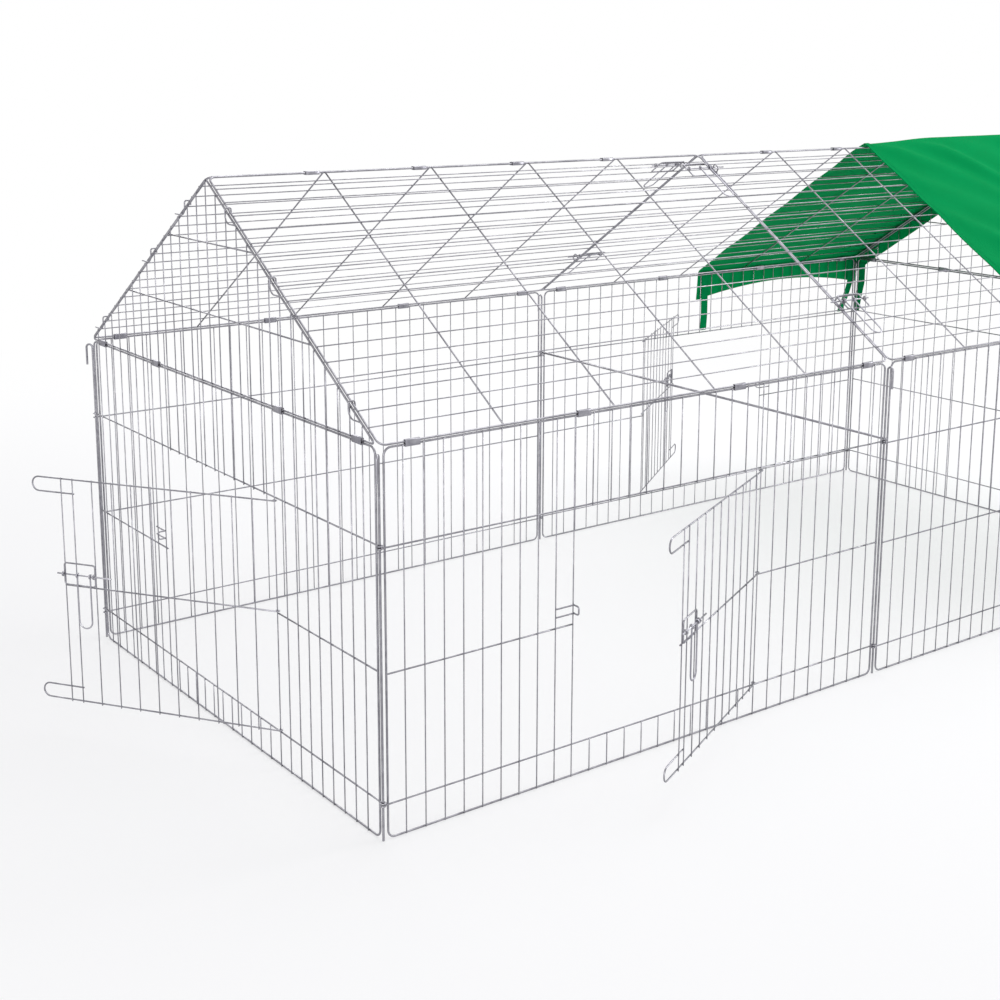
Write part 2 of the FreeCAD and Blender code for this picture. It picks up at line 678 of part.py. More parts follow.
def clip(across, middle, half_wide, half_high):
    """Open sleeve of bent sheet, with its slit underneath."""
    wide, high = f"({half_wide} + clip_wall)", f"({half_high} + clip_wall)"
    outer = [
        ("clip_slit / 2", f"-{high}"),
        (wide, f"-{high}"),
        (wide, f"{high} - clip_corner"),
        (f"{wide} - clip_corner", high),
        (f"clip_corner - {wide}", high),
        (f"-{wide}", f"{high} - clip_corner"),
        (f"-{wide}", f"-{high}"),
        ("-clip_slit / 2", f"-{high}"),
    ]
    inner = [
        ("-clip_slit / 2", f"-({half_high})"),
        (f"-({half_wide})", f"-({half_high})"),
        (f"-({half_wide})", half_high),
        (half_wide, half_high),
        (half_wide, f"-({half_high})"),
        ("clip_slit / 2", f"-({half_high})"),
    ]
    body = DOC.addObject("PartDesign::Body", "clip")
    profile = outline(body, "profile", "YZ_Plane", outer + inner)
    sleeve = body.newObject("PartDesign::Pad", "sleeve")
    sleeve.Profile = profile
    bind(sleeve, "Length", "clip_length")
    return place(body, (f"{across} - clip_length / 2", "0", middle))


def stacked_clips(uprights, gaps):
    """Clips round a wall's top wire and the wire above it, each between two uprights."""
    wide = "frame_wire / 2 + run_clearance"
    high = "2 * frame_half + stack_gap / 2 + run_clearance"
    return [
        clip(f"({uprights[i]} + {uprights[i + 1]}) / 2", "wall_height + stack_gap / 2", wide, high)
        for i in gaps
    ]


def ridge_clips():
    wide = "2 * frame_half + stack_gap / 2 + run_clearance"
    places = spaced("-roof_half", "roof_half", ROOF_CROSS_COUNT)[1:-1]
    return [
        clip(f"{across} - ridge_clip_inset", "ridge_z", wide, "frame_half + run_clearance")
        for across in places
    ]


SIDE_CLIP_INDEX = (0, 9, 18, PLAIN_COUNT - 1)
END_CLIP_INDEX = (0, 7, PLAIN_COUNT - 8, PLAIN_COUNT - 1)
node("front_left_eave_clips", stacked_clips(SIDE_WITH_DOOR, SIDE_CLIP_INDEX), *FRONT_LEFT)
node("front_right_eave_clips", stacked_clips(SIDE_PLAIN, SIDE_CLIP_INDEX), *FRONT_RIGHT)
node("back_left_eave_clips", stacked_clips(SIDE_PLAIN, SIDE_CLIP_INDEX), *BACK_LEFT)
node("back_right_eave_clips", stacked_clips(SIDE_WITH_DOOR, SIDE_CLIP_INDEX), *BACK_RIGHT)
node("left_gable_clips", stacked_clips(END_WITH_DOOR, END_CLIP_INDEX), *LEFT_END)
node("right_gable_clips", stacked_clips(END_PLAIN, END_CLIP_INDEX), *RIGHT_END)
node("left_ridge_clips", ridge_clips(), ("-section_length / 2", "0", "0"))
node("right_ridge_clips", ridge_clips(), ("section_length / 2", "0", "0"))


# Sun cover: fabric panels sewn over both slopes of the right end, with valances and straps


def cloth_panel(points, start, length):
    """Flat fabric panel: a section across the run, drawn out along it."""
    body = DOC.addObject("PartDesign::Body", "cloth_panel")
    section = outline(body, "section", "YZ_Plane", points)
    bind(section, "AttachmentOffset.Base.z", start)
    pad = body.newObject("PartDesign::Pad", "cloth_pad")
    pad.Profile = section
    bind(pad, "Length", length)
    return body


def hem(body):
    """Cut a valance's lower edge to a shallow arc between its corners."""
    sketch = outline(body, "hem_line", "XZ_Plane", [
        (COVER_SEAM, "valance_low"),
        (COVER_SEAM, "valance_low - overrun"),
        ("cover_start", "valance_low - overrun"),
        ("cover_start", "valance_low"),
    ], closed=False)
    left, right = number("cover_start"), number(COVER_SEAM)
    low, rise = number("valance_low"), number("eave_scallop")
    curve = Part.Arc(V(right, low, 0), V((left + right) / 2, low + rise, 0), V(left, low, 0))
    index = sketch.addGeometry(curve, False)
    at_right = 1 if sketch.Geometry[index].StartPoint.x > (left + right) / 2 else 2
    sketch.addConstraint(Sketcher.Constraint("Coincident", index, at_right, 0, 1))
    sketch.addConstraint(Sketcher.Constraint("Coincident", index, 3 - at_right, 2, 2))
    radius = sketch.addConstraint(Sketcher.Constraint("Radius", index, number("scallop_radius")))
    bind(sketch, f"Constraints[{radius}]", "scallop_radius")
    pocket = body.newObject("PartDesign::Pocket", "hem_cut")
    pocket.Profile = sketch
    pocket.Type = "ThroughAll"
    pocket.Midplane = True
    return body


COVER_SEAM = "(cover_end - cloth)"
COVER_RUN = "cover_length - cloth"
COVER_OUT = "(cover_side + cloth)"
COVER_EAVE = "(cover_eave + cover_rise)"
COVER_APEX = "(cover_apex + cloth / cos(slope_angle))"
COVER_PANELS = []
for y_side in ("-", ""):
    inner_eave, outer_eave = (f"{y_side}cover_side", "cover_eave"), (f"{y_side}{COVER_OUT}", COVER_EAVE)
    slope_points = [inner_eave, ("0", "cover_apex"), ("0", COVER_APEX), outer_eave]
    COVER_PANELS.append(cloth_panel(slope_points, "cover_start", COVER_RUN))
    drop_points = [
        (f"{y_side}{COVER_OUT}", "valance_low"),
        (f"{y_side}cover_side", "valance_low"),
        inner_eave,
        outer_eave,
    ]
    COVER_PANELS.append(hem(cloth_panel(drop_points, "cover_start", COVER_RUN)))
    end_points = [
        (f"{y_side}{COVER_OUT}", f"{COVER_EAVE} - end_valance"),
        ("0", f"{COVER_APEX} - end_valance"),
        ("0", COVER_APEX),
        outer_eave,
    ]
    COVER_PANELS.append(cloth_panel(end_points, COVER_SEAM, "cloth"))
node("sun_cover", COVER_PANELS)


def strap(x, y, top, wide_along_x):
    """Flat strap sewn inside a corner of a valance, up to its top."""
    piece = DOC.addObject("Part::Box", "strap")
    across, through = ("Length", "Width") if wide_along_x else ("Width", "Length")
    bind(piece, across, "strap_width")
    bind(piece, through, "strap_cloth")
    bind(piece, "Height", f"{top} - (valance_low - strap_length)")
    return place(piece, (x, y, "valance_low - strap_length"))


EAVE_STRAP_TOP = "valance_low + strap_overlap"
END_STRAP_TOP = f"{COVER_EAVE} - end_valance + (strap_inset + strap_width) * tan(slope_angle) + strap_overlap"
STRAPS = []
for inner_y in ("-cover_side", "cover_side - strap_cloth"):
    STRAPS.append(strap("cover_start + strap_inset", inner_y, EAVE_STRAP_TOP, True))
    STRAPS.append(strap("cover_end - cloth - strap_inset - strap_width", inner_y, EAVE_STRAP_TOP, True))
for inner_y in ("strap_inset - cover_side", "cover_side - strap_inset - strap_width"):
    STRAPS.append(strap("cover_end - cloth - strap_cloth", inner_y, END_STRAP_TOP, False))
node("cover_straps", STRAPS)

DOC.recompute()
for item in DOC.Objects:
    if {"Invalid", "Error"} & set(item.State):
        raise RuntimeError(f"{item.Label} failed: {item.State}")
for piece in NODES:
    if piece.Shape.isNull() or not piece.Shape.isValid():
        raise RuntimeError(f"{piece.Label} has no valid shape")

os.makedirs("parts", exist_ok=True)
for piece in NODES:
    piece.Shape.exportStep(f"parts/{piece.Label}.step")
    print(piece.Label, len(piece.Shape.Solids), "solids")
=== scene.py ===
"""Looks of a folding wire pet run: welded panels, doors, latches, clips and a fabric sun cover."""

import json
import logging
import math
from collections.abc import Callable
from dataclasses import dataclass, field
from enum import Enum

import bpy
import numpy as np
from mathutils import Matrix, Vector, noise

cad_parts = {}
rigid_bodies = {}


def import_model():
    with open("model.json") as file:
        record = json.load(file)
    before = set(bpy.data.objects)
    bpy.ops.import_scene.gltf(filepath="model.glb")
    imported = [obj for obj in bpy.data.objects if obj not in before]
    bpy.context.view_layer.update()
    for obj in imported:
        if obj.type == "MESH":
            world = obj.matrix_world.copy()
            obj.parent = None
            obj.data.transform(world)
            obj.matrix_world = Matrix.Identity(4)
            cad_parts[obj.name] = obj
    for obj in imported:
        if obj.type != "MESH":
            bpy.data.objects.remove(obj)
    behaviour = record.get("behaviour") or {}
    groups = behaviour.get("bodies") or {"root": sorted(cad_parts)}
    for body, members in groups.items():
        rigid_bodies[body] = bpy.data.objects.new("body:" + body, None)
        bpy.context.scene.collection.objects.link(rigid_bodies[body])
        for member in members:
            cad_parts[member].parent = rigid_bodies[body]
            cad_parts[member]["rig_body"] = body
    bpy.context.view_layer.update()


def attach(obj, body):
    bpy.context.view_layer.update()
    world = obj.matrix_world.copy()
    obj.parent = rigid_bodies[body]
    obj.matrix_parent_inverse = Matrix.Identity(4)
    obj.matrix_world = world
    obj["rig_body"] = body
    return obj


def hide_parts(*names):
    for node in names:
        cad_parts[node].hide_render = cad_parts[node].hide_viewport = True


LOG = logging.getLogger("pet_run")
MM = 0.001
RUN_BODY = "run"
WELD_HEAT = "weld_heat"

# The solids' wires are six-sided: a corner lies as far out as a flat, divided by this
COS30 = math.cos(math.radians(30))
# Places closer than this count as the same place, in millimetres
NEAR = 1.0
# Edges that turn by less than these angles are shaded smooth
WIRE_CREASE = math.radians(50)
CLOTH_CREASE = math.radians(60)
# The wave texture runs through this angle, in radians, for each unit of its scale
WAVE_TURN = 20
# Rows of a new grid are told apart by their place, rounded to half its width divided by this
GRID_STEPS = 4096

Pair = tuple[float, float]
Triple = tuple[float, float, float]


class Axis(Enum):
    """Ways that an eye can lie in its panel, or that a piece is turned about."""

    ALONG = (1.0, 0.0, 0.0)
    UP = (0.0, 0.0, 1.0)


class Way(Enum):
    """Side of a panel, along it, that something faces."""

    LEFT = -1.0
    RIGHT = 1.0


class Weld(Enum):
    """Kinds of weld: half the bead's width in millimetres, and how far its heat dulls the zinc."""

    MESH = (1.55, 1.0)
    GUIDE = (1.6, 1.0)
    CARRIER = (1.7, 1.0)
    KEEPER = (1.9, 1.0)
    EDGE = (2.2, 0.8)

    @property
    def size(self) -> float:
        """Half the bead's width."""
        return self.value[0]

    @property
    def heat(self) -> float:
        """Share by which the zinc is dulled."""
        return self.value[1]


class ClothPart(Enum):
    """Parts of the cover on each side of the ridge."""

    SLOPE = "slope"
    VALANCE = "valance"


@dataclass
class RunSizes:
    """Sizes of the run in millimetres; those without a value follow from the others.

    A wire's half is its radius out to the solids' corners. A set is how far a wire's middle lies out
    of its panel's middle plane, and a stand how far out of the face that carries it. A welded wire is
    pressed into its carrier by the weld's sink, and its bead's middle lies inside the carrier's face
    by the weld's depth.
    """

    section_length: float = 1100.0
    run_width: float = 1050.0
    wall_height: float = 610.0
    ridge_height: float = 960.0
    frame_wire: float = 3.5
    cross_wire: float = 2.8
    mesh_wire: float = 2.0
    rod_wire: float = 4.0
    tie_wire: float = 5.0
    latch_wire: float = 2.8
    hook_wire: float = 2.5
    weld_sink: float = 0.3
    weld_depth: float = 0.2
    clearance: float = 0.3
    stack_gap: float = 0.3
    edge_gap: float = 31.0
    keeper_inset: float = 350.0
    side_door: float = 416.0
    end_door: float = 423.0
    frame_half: float = field(init=False)
    mesh_half: float = field(init=False)
    latch_half: float = field(init=False)
    hook_half: float = field(init=False)
    eye_inner: float = field(init=False)
    post_inset: float = field(init=False)
    side_half: float = field(init=False)
    end_half: float = field(init=False)
    cross_set: float = field(init=False)
    mesh_set: float = field(init=False)
    mesh_past: float = field(init=False)
    panel_face: float = field(init=False)
    ring_inner: float = field(init=False)
    ring_outer: float = field(init=False)
    bolt_stand: float = field(init=False)
    bar_stand: float = field(init=False)
    eave_z: float = field(init=False)
    seam_inset: float = field(init=False)
    ridge_z: float = field(init=False)
    roof_half: float = field(init=False)
    slope_length: float = field(init=False)
    slope: float = field(init=False)

    def __post_init__(self) -> None:
        """Work out the sizes that follow."""
        self.frame_half = self.frame_wire / 2 / COS30
        self.mesh_half = self.mesh_wire / 2 / COS30
        self.latch_half = self.latch_wire / 2 / COS30
        self.hook_half = self.hook_wire / 2 / COS30
        self.eye_inner = self.rod_wire / 2 / COS30 + self.clearance
        eye_outer = self.eye_inner + self.cross_wire
        self.post_inset = eye_outer / COS30 + self.frame_half + self.clearance
        self.side_half = self.section_length / 2 - self.post_inset
        self.end_half = self.run_width / 2 - self.post_inset
        self.cross_set = (self.frame_wire - self.cross_wire) / 2
        self.mesh_set = self.frame_wire / 2 + self.mesh_wire / 2 - self.weld_sink
        self.mesh_past = self.frame_wire / 4
        self.panel_face = self.mesh_set + self.mesh_wire / 2
        self.ring_inner = self.latch_half + self.clearance
        self.ring_outer = self.ring_inner + self.latch_wire
        self.bolt_stand = self.ring_outer + self.clearance
        self.bar_stand = self.latch_wire / 2 - self.weld_sink
        self.eave_z = self.wall_height + self.frame_half + self.stack_gap
        self.seam_inset = self.frame_half + self.stack_gap / 2
        self.ridge_z = self.ridge_height - self.frame_half
        self.roof_half = self.section_length / 2 - self.seam_inset
        roof_run = self.run_width / 2 - self.seam_inset
        rise = self.ridge_z - self.eave_z
        self.slope_length = math.hypot(roof_run, rise)
        self.slope = math.atan2(rise, roof_run)


SIZES = RunSizes()


def spaced(first: float, last: float, gaps: int) -> list[float]:
    """Places of evenly spaced wires from the first to the last, one more than there are gaps."""
    return [first + (last - first) * i / gaps for i in range(gaps + 1)]


def stepped(stops: list[float], gaps: tuple[int, ...]) -> list[float]:
    """Places of wires through several stops, evenly spaced from each stop to the next.

    Args:
        stops: places that a wire has to be at.
        gaps: number of gaps from each stop to the next.

    Returns:
        The places in order, each stop once.
    """
    places = stops[:1]
    for first, last, count in zip(stops, stops[1:], gaps):
        places += spaced(first, last, count)[1:]
    return places


def moved(x: float, y: float, z: float) -> Matrix:
    """Matrix that moves a shape, in millimetres."""
    return Matrix.Translation((x, y, z))


def turned(degrees: float, axis: Axis) -> Matrix:
    """Matrix that turns a shape about an axis through the origin."""
    return Matrix.Rotation(math.radians(degrees), 4, Vector(axis.value))


def deselect() -> None:
    """Leave nothing selected, so that an operator meets only what it is meant for."""
    if bpy.context.object is not None and bpy.context.object.mode != "OBJECT":
        bpy.ops.object.mode_set(mode="OBJECT")
    bpy.ops.object.select_all(action="DESELECT")


def pick(obj: bpy.types.Object) -> None:
    """Select one object alone, and make it the active one.

    Args:
        obj: the object.
    """
    deselect()
    bpy.context.view_layer.objects.active = obj
    obj.select_set(True)


@dataclass
class Shape:
    """A form modelled once, in millimetres, ready to be copied."""

    points: np.ndarray
    faces: list[tuple[int, ...]]

    @classmethod
    def taken_from(cls, obj: bpy.types.Object) -> "Shape":
        """Take the mesh out of a modelled object, and remove the object.

        Args:
            obj: the object, in any place.

        Returns:
            Its form in world coordinates.
        """
        bpy.context.view_layer.update()
        points = np.array([obj.matrix_world @ v.co for v in obj.data.vertices], float)
        faces = [tuple(p.vertices) for p in obj.data.polygons]
        mesh = obj.data
        bpy.data.objects.remove(obj)
        bpy.data.meshes.remove(mesh)
        return cls(points, faces)


class Bench:
    """Bends wire and sheet in edit mode, as on a bending bench."""

    wire_sides: int = 10
    bend_step: float = math.radians(15)
    eye_sweep: float = math.radians(335)
    eye_steps: int = 20
    cut_bevel: float = 0.3
    bead_flat: float = 0.62
    fold_bevel: float = 0.2
    level_gap: float = 1e-6
    merge_gap: float = 1e-3

    def __init__(self) -> None:
        """Model the straight wire and the weld bead that all panels share."""
        self._straight = self._model_straight()
        self._bead = self._model_bead()
        self._kept: dict[tuple, Shape] = {}

    def _model_straight(self) -> Shape:
        """Model a straight wire with its cut ends broken.

        Returns:
            The wire, of radius 1, from -1 to 1.
        """
        deselect()
        bpy.ops.mesh.primitive_cylinder_add(vertices=self.wire_sides, radius=1, depth=2)
        obj = bpy.context.object
        bpy.ops.object.mode_set(mode="EDIT")
        bpy.ops.mesh.select_mode(type="EDGE")
        bpy.ops.mesh.select_all(action="DESELECT")
        bpy.ops.object.mode_set(mode="OBJECT")
        for edge in obj.data.edges:
            heights = [obj.data.vertices[v].co.z for v in edge.vertices]
            edge.select = abs(heights[0] - heights[1]) < self.level_gap
        bpy.ops.object.mode_set(mode="EDIT")
        bpy.ops.mesh.bevel(offset=self.cut_bevel, segments=1, affect="EDGES")
        bpy.ops.object.mode_set(mode="OBJECT")
        return Shape.taken_from(obj)

    def _model_bead(self) -> Shape:
        """Model the small pressed bead that a spot weld leaves between two wires.

        Returns:
            The bead, of radius 1 along and up the panel and flatter through it.
        """
        deselect()
        bpy.ops.mesh.primitive_ico_sphere_add(subdivisions=1, radius=1)
        obj = bpy.context.object
        bpy.ops.object.mode_set(mode="EDIT")
        bpy.ops.mesh.select_all(action="SELECT")
        bpy.ops.transform.resize(value=(1, self.bead_flat, 1))
        bpy.ops.object.mode_set(mode="OBJECT")
        return Shape.taken_from(obj)

    def straight(self, start: Vector, end: Vector, wire: float) -> Shape:
        """Cut a straight wire to length.

        Args:
            start: middle of one end.
            end: middle of the other end.
            wire: diameter.

        Returns:
            The wire in its place.
        """
        run = end - start
        radius = wire / 2
        points = self._straight.points * radius
        points[:, 2] += np.where(self._straight.points[:, 2] < 0, radius, run.length - radius)
        turn = np.array(run.to_track_quat("Z", "Y").to_matrix())
        return Shape(points @ turn.T + np.array(start), self._straight.faces)

    def bead(self, at: Vector, size: float) -> Shape:
        """Set a weld bead of a size at a place."""
        return Shape(self._bead.points * size + np.array(at), self._bead.faces)

    def _draw_out(self, path: list[Vector], turns: list[float]) -> None:
        """Draw the selected ring or edge along a path, with a spin at each corner.

        Args:
            path: corners from the start to the end.
            turns: radius of the bend at each corner between the ends.
        """
        used = 0.0
        for i in range(1, len(path)):
            run = path[i] - path[i - 1]
            way = run.normalized()
            last = i == len(path) - 1
            out = way if last else (path[i + 1] - path[i]).normalized()
            angle = way.angle(out)
            turn = 0.0 if last else turns[i - 1]
            cut = turn * math.tan(angle / 2)
            step = way * (run.length - used - cut)
            bpy.ops.mesh.extrude_region_move(TRANSFORM_OT_translate={"value": step})
            if not last:
                axis = way.cross(out).normalized()
                centre = path[i] - way * cut + axis.cross(way) * turn
                steps = max(2, round(angle / self.bend_step))
                bpy.ops.mesh.spin(steps=steps, angle=-angle, center=centre, axis=axis)
            used = cut

    def _close(self, obj: bpy.types.Object, fill: bool) -> Shape:
        """Join the ends of what was drawn, turn its faces outwards and take it off the bench.

        Args:
            obj: the drawn wire, in edit mode.
            fill: whether its two ends are open and get a face each.

        Returns:
            The finished form.
        """
        bpy.ops.mesh.select_all(action="SELECT")
        bpy.ops.mesh.remove_doubles(threshold=self.merge_gap)
        if fill:
            bpy.ops.mesh.fill_holes(sides=0)
        bpy.ops.mesh.normals_make_consistent(inside=False)
        bpy.ops.object.mode_set(mode="OBJECT")
        return Shape.taken_from(obj)

    def bent(self, points: list[Triple], wire: float, *turns: float, closed: bool = False) -> Shape:
        """Bend a round wire through the corners of a path.

        Args:
            points: corners of the path.
            wire: diameter.
            *turns: radius of each bend, to the wire's middle, or one for all of them.
            closed: whether the ends are joined, in the middle of the last run.

        Returns:
            The wire, kept for the next call with the same sizes.
        """
        key = (tuple(tuple(round(c, 4) for c in p) for p in points), wire, turns, closed)
        if key not in self._kept:
            path = [Vector(p) for p in points]
            if closed:
                middle = (path[0] + path[-1]) / 2
                path = [middle, *path, middle]
            along = (path[1] - path[0]).to_track_quat("Z", "Y").to_euler()
            deselect()
            bpy.ops.mesh.primitive_circle_add(
                vertices=self.wire_sides, radius=wire / 2, location=path[0], rotation=along
            )
            obj = bpy.context.object
            bpy.ops.object.mode_set(mode="EDIT")
            bpy.ops.mesh.select_all(action="SELECT")
            self._draw_out(path, list(turns) if len(turns) > 1 else list(turns) * (len(path) - 2))
            self._kept[key] = self._close(obj, fill=not closed)
        return self._kept[key]

    def eye(self, inner: float, wire: float, axis: Axis) -> Shape:
        """Curl a wire's end round into an eye that leaves a small gap.

        Args:
            inner: radius of the hole.
            wire: diameter of the wire.
            axis: axis of the hole.

        Returns:
            The eye about the origin.
        """
        key = (inner, wire, axis)
        if key not in self._kept:
            deselect()
            bpy.ops.mesh.primitive_circle_add(
                vertices=self.wire_sides,
                radius=wire / 2,
                location=(inner + wire / 2, 0, 0),
                rotation=(math.pi / 2, 0, 0),
            )
            obj = bpy.context.object
            bpy.ops.object.mode_set(mode="EDIT")
            bpy.ops.mesh.select_all(action="SELECT")
            bpy.ops.mesh.spin(
                steps=self.eye_steps, angle=self.eye_sweep, center=(0, 0, 0), axis=(0, 0, 1)
            )
            curl = self._close(obj, fill=True)
            turn = Vector(axis.value).to_track_quat("Z", "Y").to_matrix()
            self._kept[key] = Shape(curl.points @ np.array(turn).T, curl.faces)
        return self._kept[key]

    def sleeve(self, profile: list[Pair], length: float, wall: float, turn: float) -> Shape:
        """Fold a strip of sheet round a profile across X.

        Args:
            profile: corners of the sheet's middle line, as y and z.
            length: width of the strip, along X.
            wall: thickness of the sheet.
            turn: radius of the folds.

        Returns:
            The sleeve with its middle at the origin.
        """
        key = (tuple(profile), length, wall, turn)
        if key not in self._kept:
            deselect()
            bpy.ops.mesh.primitive_plane_add(size=length)
            obj = bpy.context.object
            bpy.ops.object.mode_set(mode="EDIT")
            bpy.ops.mesh.select_mode(type="VERT")
            bpy.ops.mesh.select_all(action="DESELECT")
            bpy.ops.object.mode_set(mode="OBJECT")
            for vertex in obj.data.vertices:
                vertex.select = vertex.co.y > 0
            bpy.ops.object.mode_set(mode="EDIT")
            bpy.ops.mesh.delete(type="VERT")
            bpy.ops.mesh.select_all(action="SELECT")
            path = [Vector((0, y, z)) for y, z in profile]
            bpy.ops.transform.translate(value=path[0] + Vector((0, length / 2, 0)))
            self._draw_out(path, [turn] * (len(path) - 2))
            bpy.ops.mesh.select_all(action="SELECT")
            bpy.ops.mesh.normals_make_consistent(inside=False)
            bpy.ops.object.mode_set(mode="OBJECT")
            solid = obj.modifiers.new("wall", "SOLIDIFY")
            solid.thickness, solid.offset = wall, 0
            edges = obj.modifiers.new("broken_edges", "BEVEL")
            edges.width, edges.segments, edges.limit_method = wall * self.fold_bevel, 1, "ANGLE"
            for name in ("wall", "broken_edges"):
                bpy.ops.object.modifier_apply(modifier=name)
            self._kept[key] = Shape.taken_from(obj)
        return self._kept[key]


@dataclass
class Assembly:
    """Copies of modelled forms, gathered into one piece of the run."""

    bench: Bench
    node: str
    place: Matrix
    points: list[np.ndarray] = field(default_factory=list)
    faces: list[tuple[int, ...]] = field(default_factory=list)
    heat: list[np.ndarray] = field(default_factory=list)
    count: int = 0

    def add(self, shape: Shape, spot: Matrix | None = None, heat: float = 0.0) -> None:
        """Copy a form into the piece.

        Args:
            shape: the form.
            spot: its place in the piece, in millimetres.
            heat: how far a weld has dulled the zinc there, from 0 to 1.
        """
        matrix = np.array(self.place @ spot if spot else self.place)
        self.points.append(shape.points @ matrix[:3, :3].T + matrix[:3, 3])
        self.faces += [tuple(v + self.count for v in face) for face in shape.faces]
        self.heat.append(np.full(len(shape.points), heat, np.float32))
        self.count += len(shape.points)

    def straight(self, start: Triple, end: Triple, wire: float) -> None:
        """Cut a straight wire to the distance between two places of the piece, and lay it there."""
        self.add(self.bench.straight(Vector(start), Vector(end), wire))

    def weld(self, at: Triple, kind: Weld) -> None:
        """Set a weld bead at a place of the piece."""
        self.add(self.bench.bead(Vector(at), kind.size), heat=kind.heat)

    def make(self, material: bpy.types.Material, suffix: str) -> bpy.types.Object:
        """Make the piece's object and dress it.

        Args:
            material: its finish.
            suffix: what the piece's name ends with.

        Returns:
            The dressed object.
        """
        mesh = bpy.data.meshes.new(f"{self.node}_{suffix}")
        mesh.from_pydata((np.concatenate(self.points) * MM).tolist(), [], self.faces)
        mesh.attributes.new(WELD_HEAT, "FLOAT", "POINT").data.foreach_set(
            "value", np.concatenate(self.heat)
        )
        obj = bpy.data.objects.new(mesh.name, mesh)
        bpy.context.scene.collection.objects.link(obj)
        pick(obj)
        bpy.ops.object.shade_smooth_by_angle(angle=WIRE_CREASE)
        mesh.materials.append(material)
        return obj


Builder = Callable[[Assembly], None]


def report(obj: bpy.types.Object) -> None:
    """Say in the log that a piece is made."""
    LOG.info("%s: %d faces", obj.name, len(obj.data.polygons))


def stand_for(obj: bpy.types.Object, node: str) -> None:
    """Let a piece ride on its node's body and stand for the node.

    Args:
        obj: the piece.
        node: the node's name.
    """
    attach(obj, bpy.data.objects[node]["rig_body"])
    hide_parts(node)
    report(obj)


@dataclass
class Latch:
    """Bolt in two guide rings on a face, with the handle that hangs from it.

    Sizes are in millimetres. The bolt's tip comes out of the first ring, towards the given side, and
    the second ring lies a length behind it. The face is how far the carrying face lies out of the
    middle plane, and out is how far the bolt is slid towards its keeper.
    """

    first: float
    length: float
    way: Way
    face: float
    height: float
    out: float
    weld_height: float = 12.0
    weld_set: float = 1.2
    guide_height: float = 38.0
    guide_drop: float = 19.5
    guide_bend: float = 5.0
    bolt_length: float = 105.0
    bolt_reach: float = 12.0
    handle_offset: float = 27.0
    handle_width: float = 25.0
    handle_length: float = 93.0
    handle_ease: float = 0.2

    @property
    def axis_y(self) -> float:
        """Place of the bolt's middle out of the panel."""
        return -(self.face + SIZES.bolt_stand)

    def guide(self, piece: Assembly) -> None:
        """Weld the guide loop and its two rings on a panel.

        Args:
            piece: the panel or door that carries it.
        """
        far = self.first - self.way.value * self.length
        low = self.height - self.guide_drop
        high = low + self.guide_height
        y = -(self.face + SIZES.bar_stand)
        left, right = sorted((far, self.first))
        loop = [(left, y, low), (right, y, low), (right, y, high), (left, y, high)]
        piece.add(piece.bench.bent(loop, SIZES.latch_wire, self.guide_bend, closed=True))
        ring = piece.bench.eye(SIZES.ring_inner, SIZES.latch_wire, Axis.ALONG)
        for across in (self.first, far):
            piece.add(ring, moved(across, self.axis_y, self.height))
            for z in (self.height - self.weld_height, self.height + self.weld_height):
                piece.weld((across, y + self.weld_set, z), Weld.GUIDE)

    def bolt(self, piece: Assembly) -> None:
        """Cut the bolt and slide it to its place.

        Args:
            piece: what takes it.
        """
        tip = self.first + self.way.value * (self.bolt_reach + self.out)
        tail = tip - self.way.value * self.bolt_length
        spots = [(x, self.axis_y, self.height) for x in (tail, tip)]
        piece.straight(*spots, SIZES.latch_wire)

    def handle(self, piece: Assembly) -> None:
        """Hang the handle from the bolt by its two eyes.

        Args:
            piece: what takes it.
        """
        near = self.first - self.way.value * (self.handle_offset - self.out)
        middle = near - self.way.value * self.handle_width / 2
        half = self.handle_width / 2
        top, low = -SIZES.ring_inner - SIZES.latch_wire / 2, -self.handle_length
        path = [(-half, 0, top), (-half, 0, low), (half, 0, low), (half, 0, top)]
        spot = moved(middle, self.axis_y, self.height)
        piece.add(piece.bench.bent(path, SIZES.latch_wire, half - self.handle_ease), spot)
        for side in (-half, half):
            ring = piece.bench.eye(SIZES.ring_inner, SIZES.latch_wire, Axis.ALONG)
            piece.add(ring, spot @ moved(side, 0, 0))


@dataclass
class Keeper:
    """Loop that stands out of a panel and takes the end of a bolt.

    Sizes are in millimetres. The foot and the face, which carries the bolt's guide, are given by how
    far they lie out of the panel's middle plane.
    """

    across: float
    foot: float
    face: float
    height: float
    spread: float = 14.0
    turn: float = 4.0

    def build(self, piece: Assembly) -> None:
        """Bend the loop and weld it on.

        Args:
            piece: the panel that carries it.
        """
        reach = self.face + SIZES.bolt_stand + 2 * (SIZES.latch_half + SIZES.clearance)
        half = self.spread / 2
        path = [(0, -self.foot, -half), (0, -reach, -half), (0, -reach, half), (0, -self.foot, half)]
        piece.add(piece.bench.bent(path, SIZES.latch_wire, self.turn), moved(self.across, 0, self.height))
        for side in (-half, half):
            piece.weld((self.across, -self.foot, self.height + side), Weld.KEEPER)


# Layers of a door, out from the upright that it turns on
HINGE_INNER = SIZES.mesh_half + SIZES.clearance
DOOR_SET = HINGE_INNER + SIZES.cross_wire / 2
DOOR_MESH_SET = DOOR_SET + SIZES.cross_wire / 2 + SIZES.mesh_wire / 2 - SIZES.weld_sink
DOOR_FACE = DOOR_MESH_SET + SIZES.mesh_wire / 2


